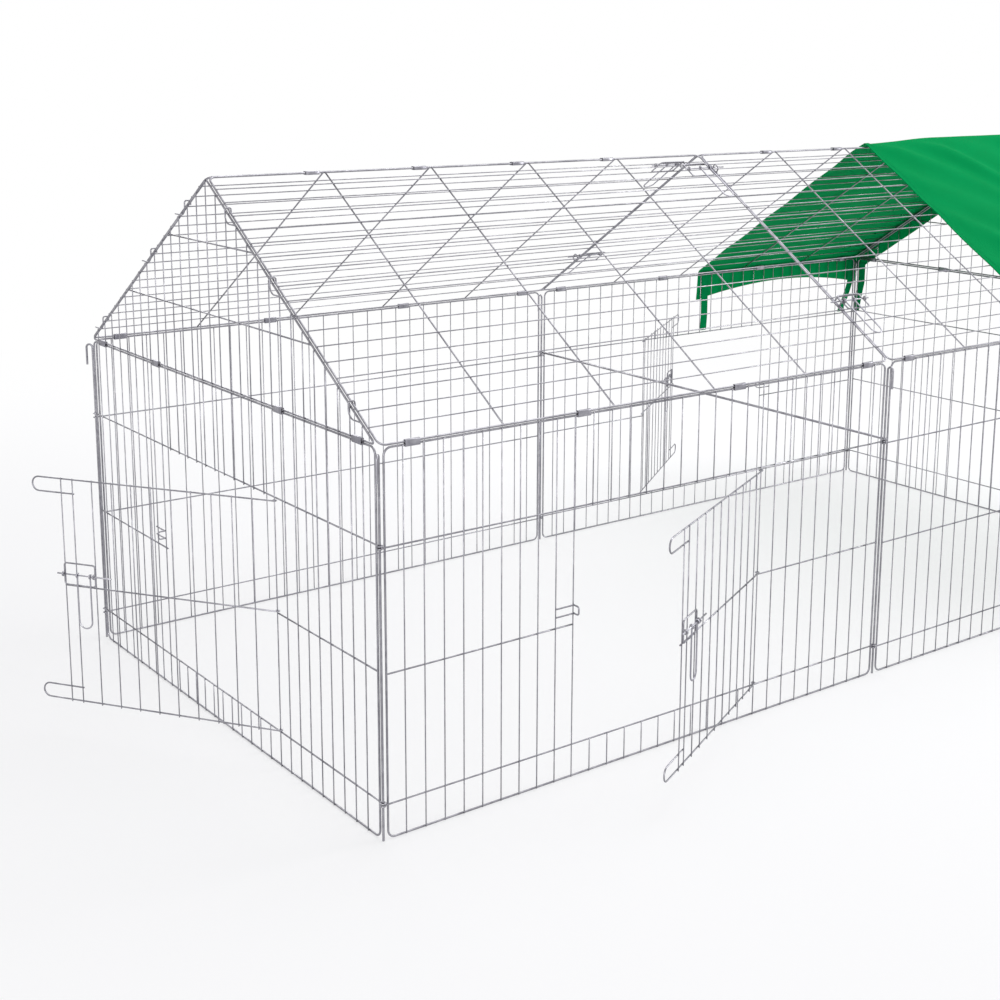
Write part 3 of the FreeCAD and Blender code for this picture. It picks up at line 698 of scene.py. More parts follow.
@dataclass
class WallPanel:
    """Welded wall panel: an edge wire, three cross wires and close uprights.

    Sizes are in millimetres. The half is from the panel's middle to its edge wire, and the step is
    added to the levels of the cross wires. The opening gives the numbers of the uprights beside the
    doorway: the first has the keeper and the second is the door's hinge.
    """

    half: float
    uprights: list[float]
    step: float
    opening: tuple[int, int] | None = None
    frame_bend: float = 12.0
    upper_level: float = 459.0
    middle_level: float = 264.0
    lower_level: float = 57.0
    door_step: float = 4.5
    overhang: float = 1.2
    guide_foot: float = 3.0

    @property
    def latch_level(self) -> float:
        """Height of the bolt of the door in this panel."""
        return self.middle_level + self.step + self.door_step + self.guide_foot + Latch.guide_drop

    def build(self, piece: Assembly) -> None:
        """Weld the panel together.

        Args:
            piece: what takes the wires.
        """
        low, high = SIZES.frame_half, SIZES.wall_height - SIZES.frame_half
        edge = [(-self.half, 0, low), (self.half, 0, low), (self.half, 0, high), (-self.half, 0, high)]
        piece.add(piece.bench.bent(edge, SIZES.frame_wire, self.frame_bend, closed=True))
        levels = [z + self.step for z in (self.lower_level, self.middle_level, self.upper_level)]
        self._cross_wires(piece, levels)
        ends = (low - SIZES.mesh_past, high + SIZES.mesh_past)
        for i, across in enumerate(self.uprights):
            for start, end in self._runs(i, ends, levels):
                spots = [(across, -SIZES.mesh_set, z) for z in (start, end)]
                piece.straight(*spots, SIZES.mesh_wire)
                for z in (low, *levels, high):
                    if start - NEAR < z < end + NEAR:
                        at = (across, SIZES.weld_depth - SIZES.frame_wire / 2, z)
                        piece.weld(at, Weld.MESH)
        if self.opening:
            self._keeper(piece)

    def _cross_wires(self, piece: Assembly, levels: list[float]) -> None:
        """Lay the cross wires, with an eye for the corner rod at each end of two of them.

        Args:
            piece: what takes them.
            levels: heights of the lower, middle and upper wire.
        """
        eye_place = self.half + SIZES.post_inset
        reach = eye_place - SIZES.eye_inner - SIZES.cross_wire / 2
        runs = [(-reach, reach, levels[0]), (-reach, reach, levels[2])]
        if self.opening:
            keep, hinge = (self.uprights[i] for i in self.opening)
            past = SIZES.mesh_half + self.overhang
            runs += [(-self.half, keep + past, levels[1]), (hinge - past, self.half, levels[1])]
        else:
            runs.append((-self.half, self.half, levels[1]))
        for start, end, z in runs:
            spots = [(x, -SIZES.cross_set, z) for x in (start, end)]
            piece.straight(*spots, SIZES.cross_wire)
        eye = piece.bench.eye(SIZES.eye_inner, SIZES.cross_wire, Axis.UP)
        for z in (levels[0], levels[2]):
            for side in (-1, 1):
                piece.add(eye, moved(side * eye_place, 0, z) @ turned(90 - 90 * side, Axis.UP))
                piece.weld((side * self.half, 0, z), Weld.EDGE)

    def _runs(self, i: int, ends: Pair, levels: list[float]) -> list[Pair]:
        """Runs of one upright: one over the whole height, or two above and below a doorway.

        Args:
            i: number of the upright.
            ends: heights of a whole upright's ends.
            levels: heights of the cross wires.

        Returns:
            The heights of each run's ends.
        """
        if self.opening is None or not self.opening[0] < i < self.opening[1]:
            return [ends]
        past = SIZES.cross_wire / 2 + self.overhang
        return [(ends[0], levels[0] + past), (levels[2] - past, ends[1])]

    def _keeper(self, piece: Assembly) -> None:
        """Weld the keeper loop and its two carrying wires beside the doorway.

        Args:
            piece: what takes them.
        """
        keep, before = self.uprights[self.opening[0]], self.uprights[self.opening[0] - 1]
        stand = SIZES.panel_face + SIZES.bar_stand
        keeper = Keeper(keep, stand, SIZES.mesh_set + DOOR_FACE, self.latch_level)
        keeper.build(piece)
        for side in (-1, 1):
            height = self.latch_level + side * keeper.spread / 2
            spots = [(x, -stand, height) for x in (before - SIZES.mesh_half, keep)]
            piece.straight(*spots, SIZES.latch_wire)
            piece.weld((before, -SIZES.panel_face, height), Weld.CARRIER)


@dataclass
class Door:
    """Welded door that turns on an upright, drawn shut with its hinge at the origin.

    Sizes are in millimetres, and turns in degrees. The free gap is left between the door's last
    upright and the doorway's, the edge pair is from that last upright to the one before it, and the
    hairpins reach past it over the wall.
    """

    width: float
    panel: WallPanel
    free_gap: float = 28.0
    edge_pair: float = 22.0
    hairpin_reach: float = 57.0
    hairpin_height: float = 24.5
    hairpin_ease: float = 0.1
    eye_turn: float = -100.0
    gaps: int = 10

    @property
    def first(self) -> float:
        """Distance of the free edge's upright from the hinge."""
        return self.width - self.free_gap

    @property
    def second(self) -> float:
        """Distance of the upright beside it."""
        return self.first - self.edge_pair

    def latch(self) -> Latch:
        """Set out the latch at the free edge, with its bolt drawn back."""
        length = self.edge_pair + self.second / self.gaps
        return Latch(-self.first, length, Way.LEFT, DOOR_FACE, self.panel.latch_level, 0.0)

    def build(self, piece: Assembly) -> None:
        """Weld the door together.

        Args:
            piece: what takes the wires.
        """
        panel = self.panel
        top = panel.upper_level + panel.step - panel.door_step
        low = panel.lower_level + panel.step + panel.door_step
        middle = panel.middle_level + panel.step + panel.door_step
        eye = piece.bench.eye(HINGE_INNER, SIZES.cross_wire, Axis.UP)
        bend = self.hairpin_height / 2 - self.hairpin_ease
        tip = self.first + self.hairpin_reach
        for level in (top, middle, low):
            piece.add(eye, moved(0, 0, level) @ turned(self.eye_turn, Axis.UP))
        for level, way in ((top, -1), (low, 1)):
            inner = level + way * self.hairpin_height
            path = [(0, level), (-tip, level), (-tip, inner), (panel.overhang - self.second, inner)]
            piece.add(piece.bench.bent([(x, -DOOR_SET, z) for x, z in path], SIZES.cross_wire, bend))
        reach = self.first + SIZES.mesh_half + panel.overhang
        spots = [(x, -DOOR_SET, middle) for x in (-reach, 0)]
        piece.straight(*spots, SIZES.cross_wire)
        past = SIZES.cross_wire / 2 + panel.overhang
        crossings = [top, low, middle]
        hairpin_crossings = [top - self.hairpin_height, low + self.hairpin_height]
        for across in [*spaced(0, self.second, self.gaps)[1:], self.first]:
            spots = [(-across, -DOOR_MESH_SET, z) for z in (low - past, top + past)]
            piece.straight(*spots, SIZES.mesh_wire)
            at_edge = across > self.second - NEAR
            for z in crossings + hairpin_crossings if at_edge else crossings:
                at = (-across, SIZES.weld_depth - DOOR_SET - SIZES.cross_wire / 2, z)
                piece.weld(at, Weld.MESH)
        self.latch().guide(piece)


@dataclass
class RoofPanel:
    """Welded roof panel, drawn with Z up the slope from its eave wire.

    Sizes are in millimetres. The way is the side of the seam with the next panel. The own gap is the
    height of this panel's latch, counted in mesh gaps from the eave, and the other gap that of the
    next panel's latch, where this panel has its keeper.
    """

    way: Way
    own_gap: float
    other_gap: float
    frame_bend: float = 12.0
    cross_gaps: int = 5
    mesh_gaps: int = 18
    guide_length: float = 60.0
    latch_inset: float = 12.0
    bolt_travel: float = 23.0

    def latch(self) -> Latch:
        """Set out the latch at the seam.

        Returns:
            The latch with its bolt shut.
        """
        first = self.way.value * (SIZES.section_length / 2 - self.latch_inset)
        height = SIZES.slope_length * self.own_gap / self.mesh_gaps
        weld = SIZES.slope_length / self.mesh_gaps / 2
        return Latch(first, self.guide_length, self.way, SIZES.panel_face, height, self.bolt_travel, weld)

    def build(self, piece: Assembly) -> None:
        """Weld the panel together.

        Args:
            piece: what takes the wires.
        """
        half, long = SIZES.roof_half, SIZES.slope_length
        edge = [(-half, 0, 0), (half, 0, 0), (half, 0, long), (-half, 0, long)]
        piece.add(piece.bench.bent(edge, SIZES.frame_wire, self.frame_bend, closed=True))
        across_places = spaced(-half, half, self.cross_gaps)
        for x in across_places[1:-1]:
            spots = [(x, -SIZES.cross_set, z) for z in (0, long)]
            piece.straight(*spots, SIZES.cross_wire)
            for z in (0, long):
                piece.weld((x, 0, z), Weld.EDGE)
        reach = half + SIZES.mesh_past
        for z in spaced(0, long, self.mesh_gaps)[1:-1]:
            spots = [(x, -SIZES.mesh_set, z) for x in (-reach, reach)]
            piece.straight(*spots, SIZES.mesh_wire)
            for x in across_places:
                piece.weld((x, SIZES.weld_depth - SIZES.frame_wire / 2, z), Weld.MESH)
        self.latch().guide(piece)
        height = long * self.other_gap / self.mesh_gaps
        foot = SIZES.frame_wire / 2 - SIZES.weld_sink
        Keeper(self.way.value * half, foot, SIZES.panel_face, height).build(piece)


@dataclass
class Gable:
    """Welded triangle under the roof's end, drawn from the middle of its base wire.

    The shares are the heights of its two cross wires over the height of its peak.
    """

    uprights: list[float]
    upper_share: float = 0.696
    lower_share: float = 0.345
    turn: float = 2.7

    def build(self, piece: Assembly) -> None:
        """Weld the gable together.

        Args:
            piece: what takes the wires.
        """
        drop = 2 * SIZES.frame_half + SIZES.stack_gap
        half = SIZES.run_width / 2 - drop / math.sin(SIZES.slope)
        rise = half * math.tan(SIZES.slope)
        edge = [(-half, 0, 0), (half, 0, 0), (0, 0, rise)]
        piece.add(piece.bench.bent(edge, SIZES.frame_wire, self.turn, closed=True))
        levels = [rise * self.lower_share, rise * self.upper_share]
        for z in levels:
            reach = half * (1 - z / rise)
            spots = [(x, -SIZES.cross_set, z) for x in (-reach, reach)]
            piece.straight(*spots, SIZES.cross_wire)
        for across in self.uprights:
            top = (half - abs(across)) * math.tan(SIZES.slope)
            spots = [(across, -SIZES.mesh_set, z) for z in (-SIZES.mesh_past, top)]
            piece.straight(*spots, SIZES.mesh_wire)
            for z in (0, *levels, top):
                if z <= top:
                    at = (across, SIZES.weld_depth - SIZES.frame_wire / 2, z)
                    piece.weld(at, Weld.MESH)


@dataclass
class GableHooks:
    """Six bent hooks that hold a gable's rafters to the roof's end wires.

    Sizes are in millimetres, and the gaps are the hooks' places in mesh gaps of the roof, up from the
    eave.
    """

    gaps: tuple[float, ...] = (2.5, 10.5, 15.5)
    tip: float = 8.0
    arm: float = 37.5
    turn: float = 3.6
    wide_turn: float = 14.0

    def build(self, piece: Assembly) -> None:
        """Bend each hook over its two wires.

        Args:
            piece: what takes them.
        """
        cosine = math.cos(SIZES.slope)
        over = (SIZES.frame_half + SIZES.hook_half + SIZES.clearance) / cosine
        inside = SIZES.seam_inset + SIZES.frame_half + SIZES.hook_half + SIZES.clearance
        outside = SIZES.panel_face + SIZES.hook_half + SIZES.clearance
        drop = self.arm * math.tan(SIZES.slope) + SIZES.clearance
        for side in (-1, 1):
            path = [
                (0, inside, -self.tip),
                (0, inside, 0),
                (0, -outside, 0),
                (0, -outside, -drop),
                (side * self.arm, -outside, -drop),
            ]
            hook = piece.bench.bent(path, SIZES.hook_wire, self.turn, self.turn, self.wide_turn)
            for gap in self.gaps:
                along = SIZES.slope_length * gap / RoofPanel.mesh_gaps
                across = SIZES.run_width / 2 - along * cosine
                high = along * math.sin(SIZES.slope) + over
                piece.add(hook, moved(side * across, 0, high))


@dataclass
class CornerRod:
    """Rod through the eyes of two panels, with a bent-over top to pull it by."""

    top: float = 600.0
    loop: float = 12.0
    hook: float = 40.0
    ease: float = 0.05

    def build(self, piece: Assembly) -> None:
        """Bend the rod's top over.

        Args:
            piece: what takes it.
        """
        tip = self.top - self.hook
        path = [(0, 0, 0), (0, 0, self.top), (-self.loop, 0, self.top), (-self.loop, 0, tip)]
        piece.add(piece.bench.bent(path, SIZES.rod_wire, self.loop / 2 - self.ease))


@dataclass
class TieBar:
    """Bar across the middle of the run, with an eye for a rod at each end."""

    level: float = 463.5

    def build(self, piece: Assembly) -> None:
        """Cut the bar and curl its eyes.

        Args:
            piece: what takes it.
        """
        half = SIZES.run_width / 2 - SIZES.eye_inner - SIZES.cross_wire / 2
        spots = [(0, side * half, self.level) for side in (-1, 1)]
        piece.straight(*spots, SIZES.tie_wire)
        eye = piece.bench.eye(SIZES.eye_inner, SIZES.cross_wire, Axis.UP)
        for side in (-1, 1):
            spot = moved(0, side * SIZES.run_width / 2, self.level)
            piece.add(eye, spot @ turned(90 * side, Axis.UP))


@dataclass
class Clips:
    """Open sleeves of bent sheet, each round two edge wires, with the slit underneath.

    Sizes are in millimetres. The halves are from the middle of the two wires to the sheet's inside.
    """

    half_wide: float
    half_high: float
    places: list[float]
    level: float
    length: float = 25.9
    wall: float = 1.0
    slit: float = 1.6
    turn: float = 1.1

    def build(self, piece: Assembly) -> None:
        """Fold one clip and copy it to each place.

        Args:
            piece: what takes the clips.
        """
        wide, high = self.half_wide + self.wall / 2, self.half_high + self.wall / 2
        gap = self.slit / 2
        profile = [(gap, -high), (wide, -high), (wide, high), (-wide, high), (-wide, -high), (-gap, -high)]
        clip = piece.bench.sleeve(profile, self.length, self.wall, self.turn)
        for x in self.places:
            piece.add(clip, moved(x, 0, self.level))


@dataclass
class Folds:
    """Soft slanting folds of the cover, in millimetres or as shares of the highest.

    Each row holds a fold's place across the slant, its share of the height and its width.
    """

    height: float = 15.0
    rows: tuple[Triple, ...] = (
        (-330.0, 0.6, 34.0), (-205.0, 0.8, 30.0), (-95.0, 0.5, 38.0), (14.0, 0.75, 26.0),
        (92.0, 0.8, 24.0), (190.0, 0.55, 40.0), (300.0, 0.7, 30.0),
    )
    slant: Pair = (0.76, 0.65)
    back_shift: float = 30.0
    sway: float = 22.0
    sway_length: float = 190.0
    ripple: float = 0.14
    ripple_length: float = 210.0
    ripple_width: float = 45.0
    swell: Pair = (0.8, 0.5)
    swell_length: float = 160.0
    side_seed: float = 4.0
    sway_seed: float = 0.7
    ripple_seed: float = 7.7
    swell_seed: float = 1.3

    def share(self, along: float, down: float, side: float) -> float:
        """Height of the cloth at a place of a slope.

        Args:
            along: distance from the cover's open end.
            down: distance from the ridge.
            side: -1 on the front slope and 1 on the back one.

        Returns:
            The height as a share of the highest, from 0 to 1.
        """
        cosine, sine = self.slant
        long = cosine * along + sine * down
        across = sine * along - cosine * down + self.back_shift * (1 + side)
        sway_at = Vector((long / self.sway_length, self.side_seed * side, self.sway_seed))
        across += self.sway * noise.noise(sway_at)
        ripple_at = Vector((long / self.ripple_length, across / self.ripple_width, self.ripple_seed))
        height = self.ripple + self.ripple * noise.noise(ripple_at)
        for offset, share, width in self.rows:
            swell_at = Vector((long / self.swell_length, offset, self.swell_seed))
            swell = self.swell[0] + self.swell[1] * noise.noise(swell_at)
            height += share * swell * math.exp(-(((across - offset) / width) ** 2))
        return max(0.0, min(1.0, height))


@dataclass
class Sewing:
    """Hems and stitches of the cover.

    Sizes are in millimetres; a share is of the cloth's thickness, or of the thread's.
    """

    hem: float = 14.0
    open_edge: float = 0.4
    hem_edge: float = 0.3
    hem_lift_share: float = 0.75
    hem_cloth_share: float = 0.6
    hem_face_share: float = 1.05
    stitch: float = 3.4
    pitch: float = 4.6
    seam_end: float = 1.0
    thread: float = 0.7
    thread_lift_share: float = 0.3
    seam_inset: float = 2.5
    join_inset: float = 4.0
    seam_steps: int = 120


@dataclass
class Straps:
    """Tie straps under the cover's corners, in millimetres, with the turn of their curl in radians."""

    count: int = 6
    width: float = 22.0
    drop: float = 80.0
    inset: float = 12.0
    cloth: float = 1.0
    gap: float = 0.1
    seam_drop: float = 6.0
    end_seam_drop: float = 20.0
    lean: float = 34.0
    curl: float = 1.4
    curl_turn: float = 5.0
    pull: float = 0.9
    rows: int = 24
    columns: int = 4


@dataclass
class SunCover:
    """Polyester cover laid over both slopes of one end, with valances and tie straps.

    Sizes are in millimetres. An ease is the distance over which the folds rise from an end of the
    cover, and the share that they have there. Each wave of a valance has a share of its sway, a
    length and a lag.
    """

    length: float = 600.0
    cloth: float = 1.2
    valance: float = 70.0
    scallop: float = 30.0
    end_valance: float = 45.0
    ridge_slack: float = 9.0
    slack_share: float = 0.3
    slack_run: float = 240.0
    held_share: float = 0.06
    open_ease: Pair = (60.0, 0.25)
    end_ease: Pair = (90.0, 0.04)
    valance_waves: tuple[Triple, ...] = ((0.3, 37.0, 1.0), (1.0, 83.0, 2.0))
    valance_flare: float = 2.4
    valance_sway: float = 1.8
    flap_flare: float = 1.2
    flap_sway: float = 1.6
    flap_wave: float = 31.0
    columns: int = 72
    slope_rows: int = 64
    valance_rows: int = 10
    flap_columns: int = 48
    flap_rows: int = 8
    folds: Folds = field(default_factory=Folds)
    sewing: Sewing = field(default_factory=Sewing)
    straps: Straps = field(default_factory=Straps)

    def __post_init__(self) -> None:
        """Work out where the cloth's middle surface lies."""
        lift = SIZES.frame_half + 2 * SIZES.hook_half + 2 * SIZES.clearance
        tangent, cosine = math.tan(SIZES.slope), math.cos(SIZES.slope)
        inner_side = SIZES.run_width / 2 + lift
        inner_eave = SIZES.eave_z + lift / cosine - lift * tangent
        gable_face = SIZES.section_length + SIZES.panel_face
        self.side = inner_side + self.cloth / 2
        self.eave = inner_eave + (self.cloth / cosine - self.cloth * tangent) / 2
        self.apex = inner_eave + inner_side * tangent + self.cloth / cosine / 2
        self.low = SIZES.eave_z - self.valance
        self.end = gable_face + 2 * SIZES.hook_half + 2 * SIZES.clearance + self.cloth
        self.start = self.end - self.length
        self.run = self.length - self.cloth
        self.drop = self.eave - self.low
        self.rafter = math.hypot(self.side, self.apex - self.eave)

    @property
    def half_girth(self) -> float:
        """Length of cloth from the ridge over the eave to the hem at a corner."""
        return self.rafter + self.drop

    def spot(self, along: float, down: float, side: float, out: float = 0.0) -> Vector:
        """Place of a point of the cloth.

        Args:
            along: distance from the cover's open end.
            down: distance from the ridge, over the eave.
            side: -1 on the front slope and 1 on the back one.
            out: how far outside the middle surface it lies.

        Returns:
            The place in the run, in millimetres.
        """
        x = self.start + along
        if down <= self.rafter:
            share = down / self.rafter
            # The folds die out at the ridge and the eave, and towards both ends
            free = (
                share / self.held_share,
                (1 - share) / self.held_share,
                along / self.open_ease[0] + self.open_ease[1],
                (self.length - along) / self.end_ease[0] + self.end_ease[1],
            )
            still = max(0.0, min(1.0, *free))
            lift = out + self.folds.height * still * self.folds.share(along, down, side)
            y = self.side * share + lift * math.sin(SIZES.slope)
            z = self.apex + (self.eave - self.apex) * share + lift * math.cos(SIZES.slope)
            # Behind the open end the cloth gradually lifts off the ridge
            rise = min(1.0, along / self.slack_run)
            slack = max(0.0, 1 - share / self.slack_share) ** 2 * rise * rise * (3 - 2 * rise)
            return Vector((x, side * y, z + self.ridge_slack * slack))
        fall = down - self.rafter
        share = fall / self.drop
        wave = sum(high * math.sin(along / long + lag * side) for high, long, lag in self.valance_waves)
        y = self.side + out + share * (self.valance_flare + self.valance_sway * wave)
        return Vector((x, side * y, self.eave - fall))

    def flap_spot(self, fall: float, down: float, side: float, out: float = 0.0) -> Vector:
        """Place of a point of the end valance.

        Args:
            fall: distance below the slope.
            down: distance from the ridge, along the slope.
            side: -1 on the front half and 1 on the back one.
            out: how far outside the middle surface it lies.

        Returns:
            The place in the run, in millimetres.
        """
        top = self.spot(self.run, down, side)
        share = fall / self.end_valance
        wave = max(0.0, self.flap_sway * share * math.sin(down / self.flap_wave + side))
        x = self.end - self.cloth / 2 + self.flap_flare * share + wave + out
        return Vector((x, top.y, top.z - fall))

    def hem_drop(self, along: float) -> float:
        """Length of the valance below the eave, which is cut to a shallow arc."""
        share = 2 * along / self.run - 1
        return self.drop - self.scallop * (1 - share * share)

    def _patch(self, name: str, rows: list[list[Vector]], flat: list[list[Pair]]) -> bpy.types.Object:
        """Pull a grid to the places of its points.

        Args:
            name: name of the new object.
            rows: places of the points, row by row, in millimetres.
            flat: the same points on the cut cloth, in metres.

        Returns:
            A sheet with no thickness and a UV map in metres of cloth.
        """
        deselect()
        across, down = len(rows[0]), len(rows)
        bpy.ops.mesh.primitive_grid_add(x_subdivisions=across - 1, y_subdivisions=down - 1, size=2)
        obj = bpy.context.object
        obj.name = name
        layer = obj.data.uv_layers.active.data
        order = sorted(range(len(obj.data.vertices)), key=lambda i: (
            round(obj.data.vertices[i].co.y * GRID_STEPS), obj.data.vertices[i].co.x
        ))
        cloth = {}
        for rank, index in enumerate(order):
            row, column = divmod(rank, across)
            obj.data.vertices[index].co = rows[row][column] * MM
            cloth[index] = flat[row][column]
        for loop in obj.data.loops:
            layer[loop.index].uv = cloth[loop.vertex_index]
        return obj

    def _thicken(self, obj: bpy.types.Object, thickness: float, levels: int = 1) -> None:
        """Smooth a sheet and give it its thickness.

        Args:
            obj: the sheet.
            thickness: its thickness in millimetres.
            levels: how often it is subdivided, or 0 to leave its points as they are.
        """
        pick(obj)
        if levels:
            smooth = obj.modifiers.new("smooth", "SUBSURF")
            smooth.levels = smooth.render_levels = levels
            bpy.ops.object.modifier_apply(modifier="smooth")
        solid = obj.modifiers.new("thickness", "SOLIDIFY")
        solid.thickness, solid.offset = thickness * MM, 0
        bpy.ops.object.modifier_apply(modifier="thickness")
        bpy.ops.object.shade_smooth_by_angle(angle=CLOTH_CREASE)

    def _join(self, name: str, parts: list[bpy.types.Object]) -> bpy.types.Object:
        """Sew parts into one object.

        Args:
            name: name of the object and its mesh.
            parts: the sheets, of which the first takes in the others.

        Returns:
            The joined object.
        """
        deselect()
        for part in parts:
            part.select_set(True)
        bpy.context.view_layer.objects.active = parts[0]
        bpy.ops.object.join()
        parts[0].name = parts[0].data.name = name
        return parts[0]

    def _main_rows(self) -> tuple[list[list[Vector]], list[list[Pair]]]:
        """Set out the cloth from the front hem over the ridge to the back hem.

        Returns:
            The points row by row in the run, in millimetres, and on the cut cloth, in metres.
        """
        places, flat = [], []
        steps = [(ClothPart.VALANCE, 1 - i / self.valance_rows) for i in range(self.valance_rows)]
        steps += [(ClothPart.SLOPE, 1 - i / self.slope_rows) for i in range(self.slope_rows + 1)]
        for side, half in ((-1.0, steps), (1.0, steps[-2::-1])):
            for part, share in half:
                row, cut = [], []
                for column in range(self.columns + 1):
                    along = self.run * column / self.columns
                    down = self.rafter * share
                    if part is ClothPart.VALANCE:
                        down = self.rafter + self.hem_drop(along) * share
                    row.append(self.spot(along, down, side))
                    cut.append((along * MM, side * down * MM))
                places.append(row)
                flat.append(cut)
        return places, flat

    def build_cloth(self) -> bpy.types.Object:
        """Lay the cover over the roof and fold its end valance down.

        Returns:
            The cover with its thickness.
        """
        parts = [self._patch("cover_main", *self._main_rows())]
        for side in (-1.0, 1.0):
            rows, flat = [], []
            for i in range(self.flap_rows + 1):
                fall = self.end_valance * i / self.flap_rows
                downs = [self.rafter * j / self.flap_columns for j in range(self.flap_columns + 1)]
                rows.append([self.flap_spot(fall, down, side) for down in downs])
                flat.append([((self.run + fall) * MM, side * down * MM) for down in downs])
            parts.append(self._patch("cover_flap", rows, flat))
        for part in parts:
            self._thicken(part, self.cloth)
        return self._join("sun_cover_cloth", parts)

    def _hem(self, name: str, pairs: list[list[tuple[Vector, Pair]]]) -> bpy.types.Object:
        """Turn one edge of the cloth over.

        Args:
            name: name of the new object.
            pairs: the hem's two edges at each place along it, each as its place in the run in
                millimetres and its place on the cut cloth in metres.

        Returns:
            The hem as a strip with no thickness.
        """
        rows = [[pair[k][0] for pair in pairs] for k in (0, 1)]
        flat = [[pair[k][1] for pair in pairs] for k in (0, 1)]
        return self._patch(name, rows, flat)

    def build_hems(self) -> bpy.types.Object:
        """Turn the cloth's free edges over into sewn hems.

        Returns:
            The hems with their thickness.
        """
        sewing = self.sewing
        out = self.cloth * sewing.hem_lift_share
        backs = (sewing.hem_edge, sewing.hem)
        pairs = []
        steps = 2 * (self.slope_rows + self.valance_rows)
        for i in range(steps + 1):
            signed = (2 * i / steps - 1) * self.half_girth
            side = -1.0 if signed < 0 else 1.0
            pairs.append([
                (self.spot(along, abs(signed), side, out), (along * MM, signed * MM))
                for along in (sewing.open_edge, sewing.hem)
            ])
        strips = [self._hem("open_end_hem", pairs)]
        for side in (-1.0, 1.0):
            pairs = []
            for column in range(self.columns + 1):
                along = self.run * column / self.columns
                edge = self.rafter + self.hem_drop(along)
                pairs.append([
                    (self.spot(along, edge - back, side, out), (along * MM, side * (edge - back) * MM))
                    for back in backs
                ])
            strips.append(self._hem("valance_hem", pairs))
            pairs = []
            for i in range(self.slope_rows + 1):
                down = self.rafter * i / self.slope_rows
                pairs.append([
                    (self.flap_spot(fall, down, side, out), ((self.run + fall) * MM, side * down * MM))
                    for fall in (self.end_valance - back for back in backs)
                ])
            strips.append(self._hem("end_hem", pairs))
        for strip in strips:
            self._thicken(strip, self.cloth * sewing.hem_cloth_share, levels=0)
        return self._join("sun_cover_hems", strips)

    def _seam(
        self,
        piece: Assembly,
        line: list[Pair],
        spot: Callable[[float, float, float, float], Vector],
        layer: float,
    ) -> None:
        """Sew one row of stitches along a line of the cloth.

        Args:
            piece: what takes the stitches.
            line: points as the distance that spot takes first and the signed one from the ridge.
            spot: gives the place of a point of the cover or of its end valance.
            layer: how far the sewn surface lies outside the middle one.
        """
        sewing = self.sewing
        out = layer + sewing.thread * sewing.thread_lift_share
        lengths = [0.0]
        for (a0, d0), (a1, d1) in zip(line, line[1:]):
            lengths.append(lengths[-1] + math.hypot(a1 - a0, d1 - d0))
        places = np.array(line)
        for start in np.arange(sewing.seam_end, lengths[-1] - sewing.pitch, sewing.pitch):
            ends = []
            for at in (start, start + sewing.stitch):
                along, down = (float(np.interp(at, lengths, places[:, k])) for k in (0, 1))
                ends.append(spot(along, abs(down), -1.0 if down < 0 else 1.0, out))
            piece.straight(*ends, sewing.thread)

    def build_stitches(self, bench: Bench, thread: bpy.types.Material) -> bpy.types.Object:
        """Sew the hems and the end valance's join with a row of stitches each.

        Args:
            bench: where the thread is cut.
            thread: finish of the thread.

        Returns:
            The stitches as one object.
        """
        piece = Assembly(bench, "sun_cover", Matrix())
        back = self.sewing.hem - self.sewing.seam_inset
        girth = self.half_girth - self.sewing.seam_end
        hemmed, plain = self.cloth * self.sewing.hem_face_share, self.cloth / 2
        steps = self.sewing.seam_steps
        open_edge = [(back, d) for d in spaced(-girth, girth, 2 * steps)]
        self._seam(piece, open_edge, self.spot, hemmed)
        for side in (-1.0, 1.0):
            places = spaced(0, self.run, steps)
            hem = [(a, side * (self.rafter + self.hem_drop(a) - back)) for a in places]
            self._seam(piece, hem, self.spot, hemmed)
            slope = [side * down for down in spaced(0, self.rafter, steps)]
            join = [(self.run - self.sewing.join_inset, d) for d in slope]
            self._seam(piece, join, self.spot, plain)
            end = [(self.end_valance - back, d) for d in slope]
            self._seam(piece, end, self.flap_spot, hemmed)
        return piece.make(thread, "stitches")

    def build_straps(self) -> bpy.types.Object:
        """Hang the tie straps inside the corners of the valances.

        Returns:
            The straps as one object.
        """
        tape = self.straps
        inner = self.side - self.cloth / 2 - tape.cloth / 2 - tape.gap
        made = []
        for side in (-1.0, 1.0):
            top = self.eave - tape.seam_drop
            for along in (tape.inset, self.run - tape.inset - tape.width):
                x = self.start + along
                edges = [Vector((x, side * inner, 0)), Vector((x + tape.width, side * inner, 0))]
                leans = side > 0 and along > self.length / 2
                lean = Vector((-tape.lean, 0, 0)) if leans else Vector()
                made.append(self._strap(edges, top, Vector((0, -side, 0)), lean))
            y = side * (self.side - self.cloth / 2 - tape.inset)
            x = self.end - self.cloth - tape.cloth / 2 - tape.gap
            edges = [Vector((x, y - side * tape.width, 0)), Vector((x, y, 0))]
            lean = Vector((0, tape.lean / 2, 0)) if side > 0 else Vector()
            made.append(self._strap(edges, self.eave - tape.end_seam_drop, Vector((-1, 0, 0)), lean))
        return self._join("sun_cover_straps", made)

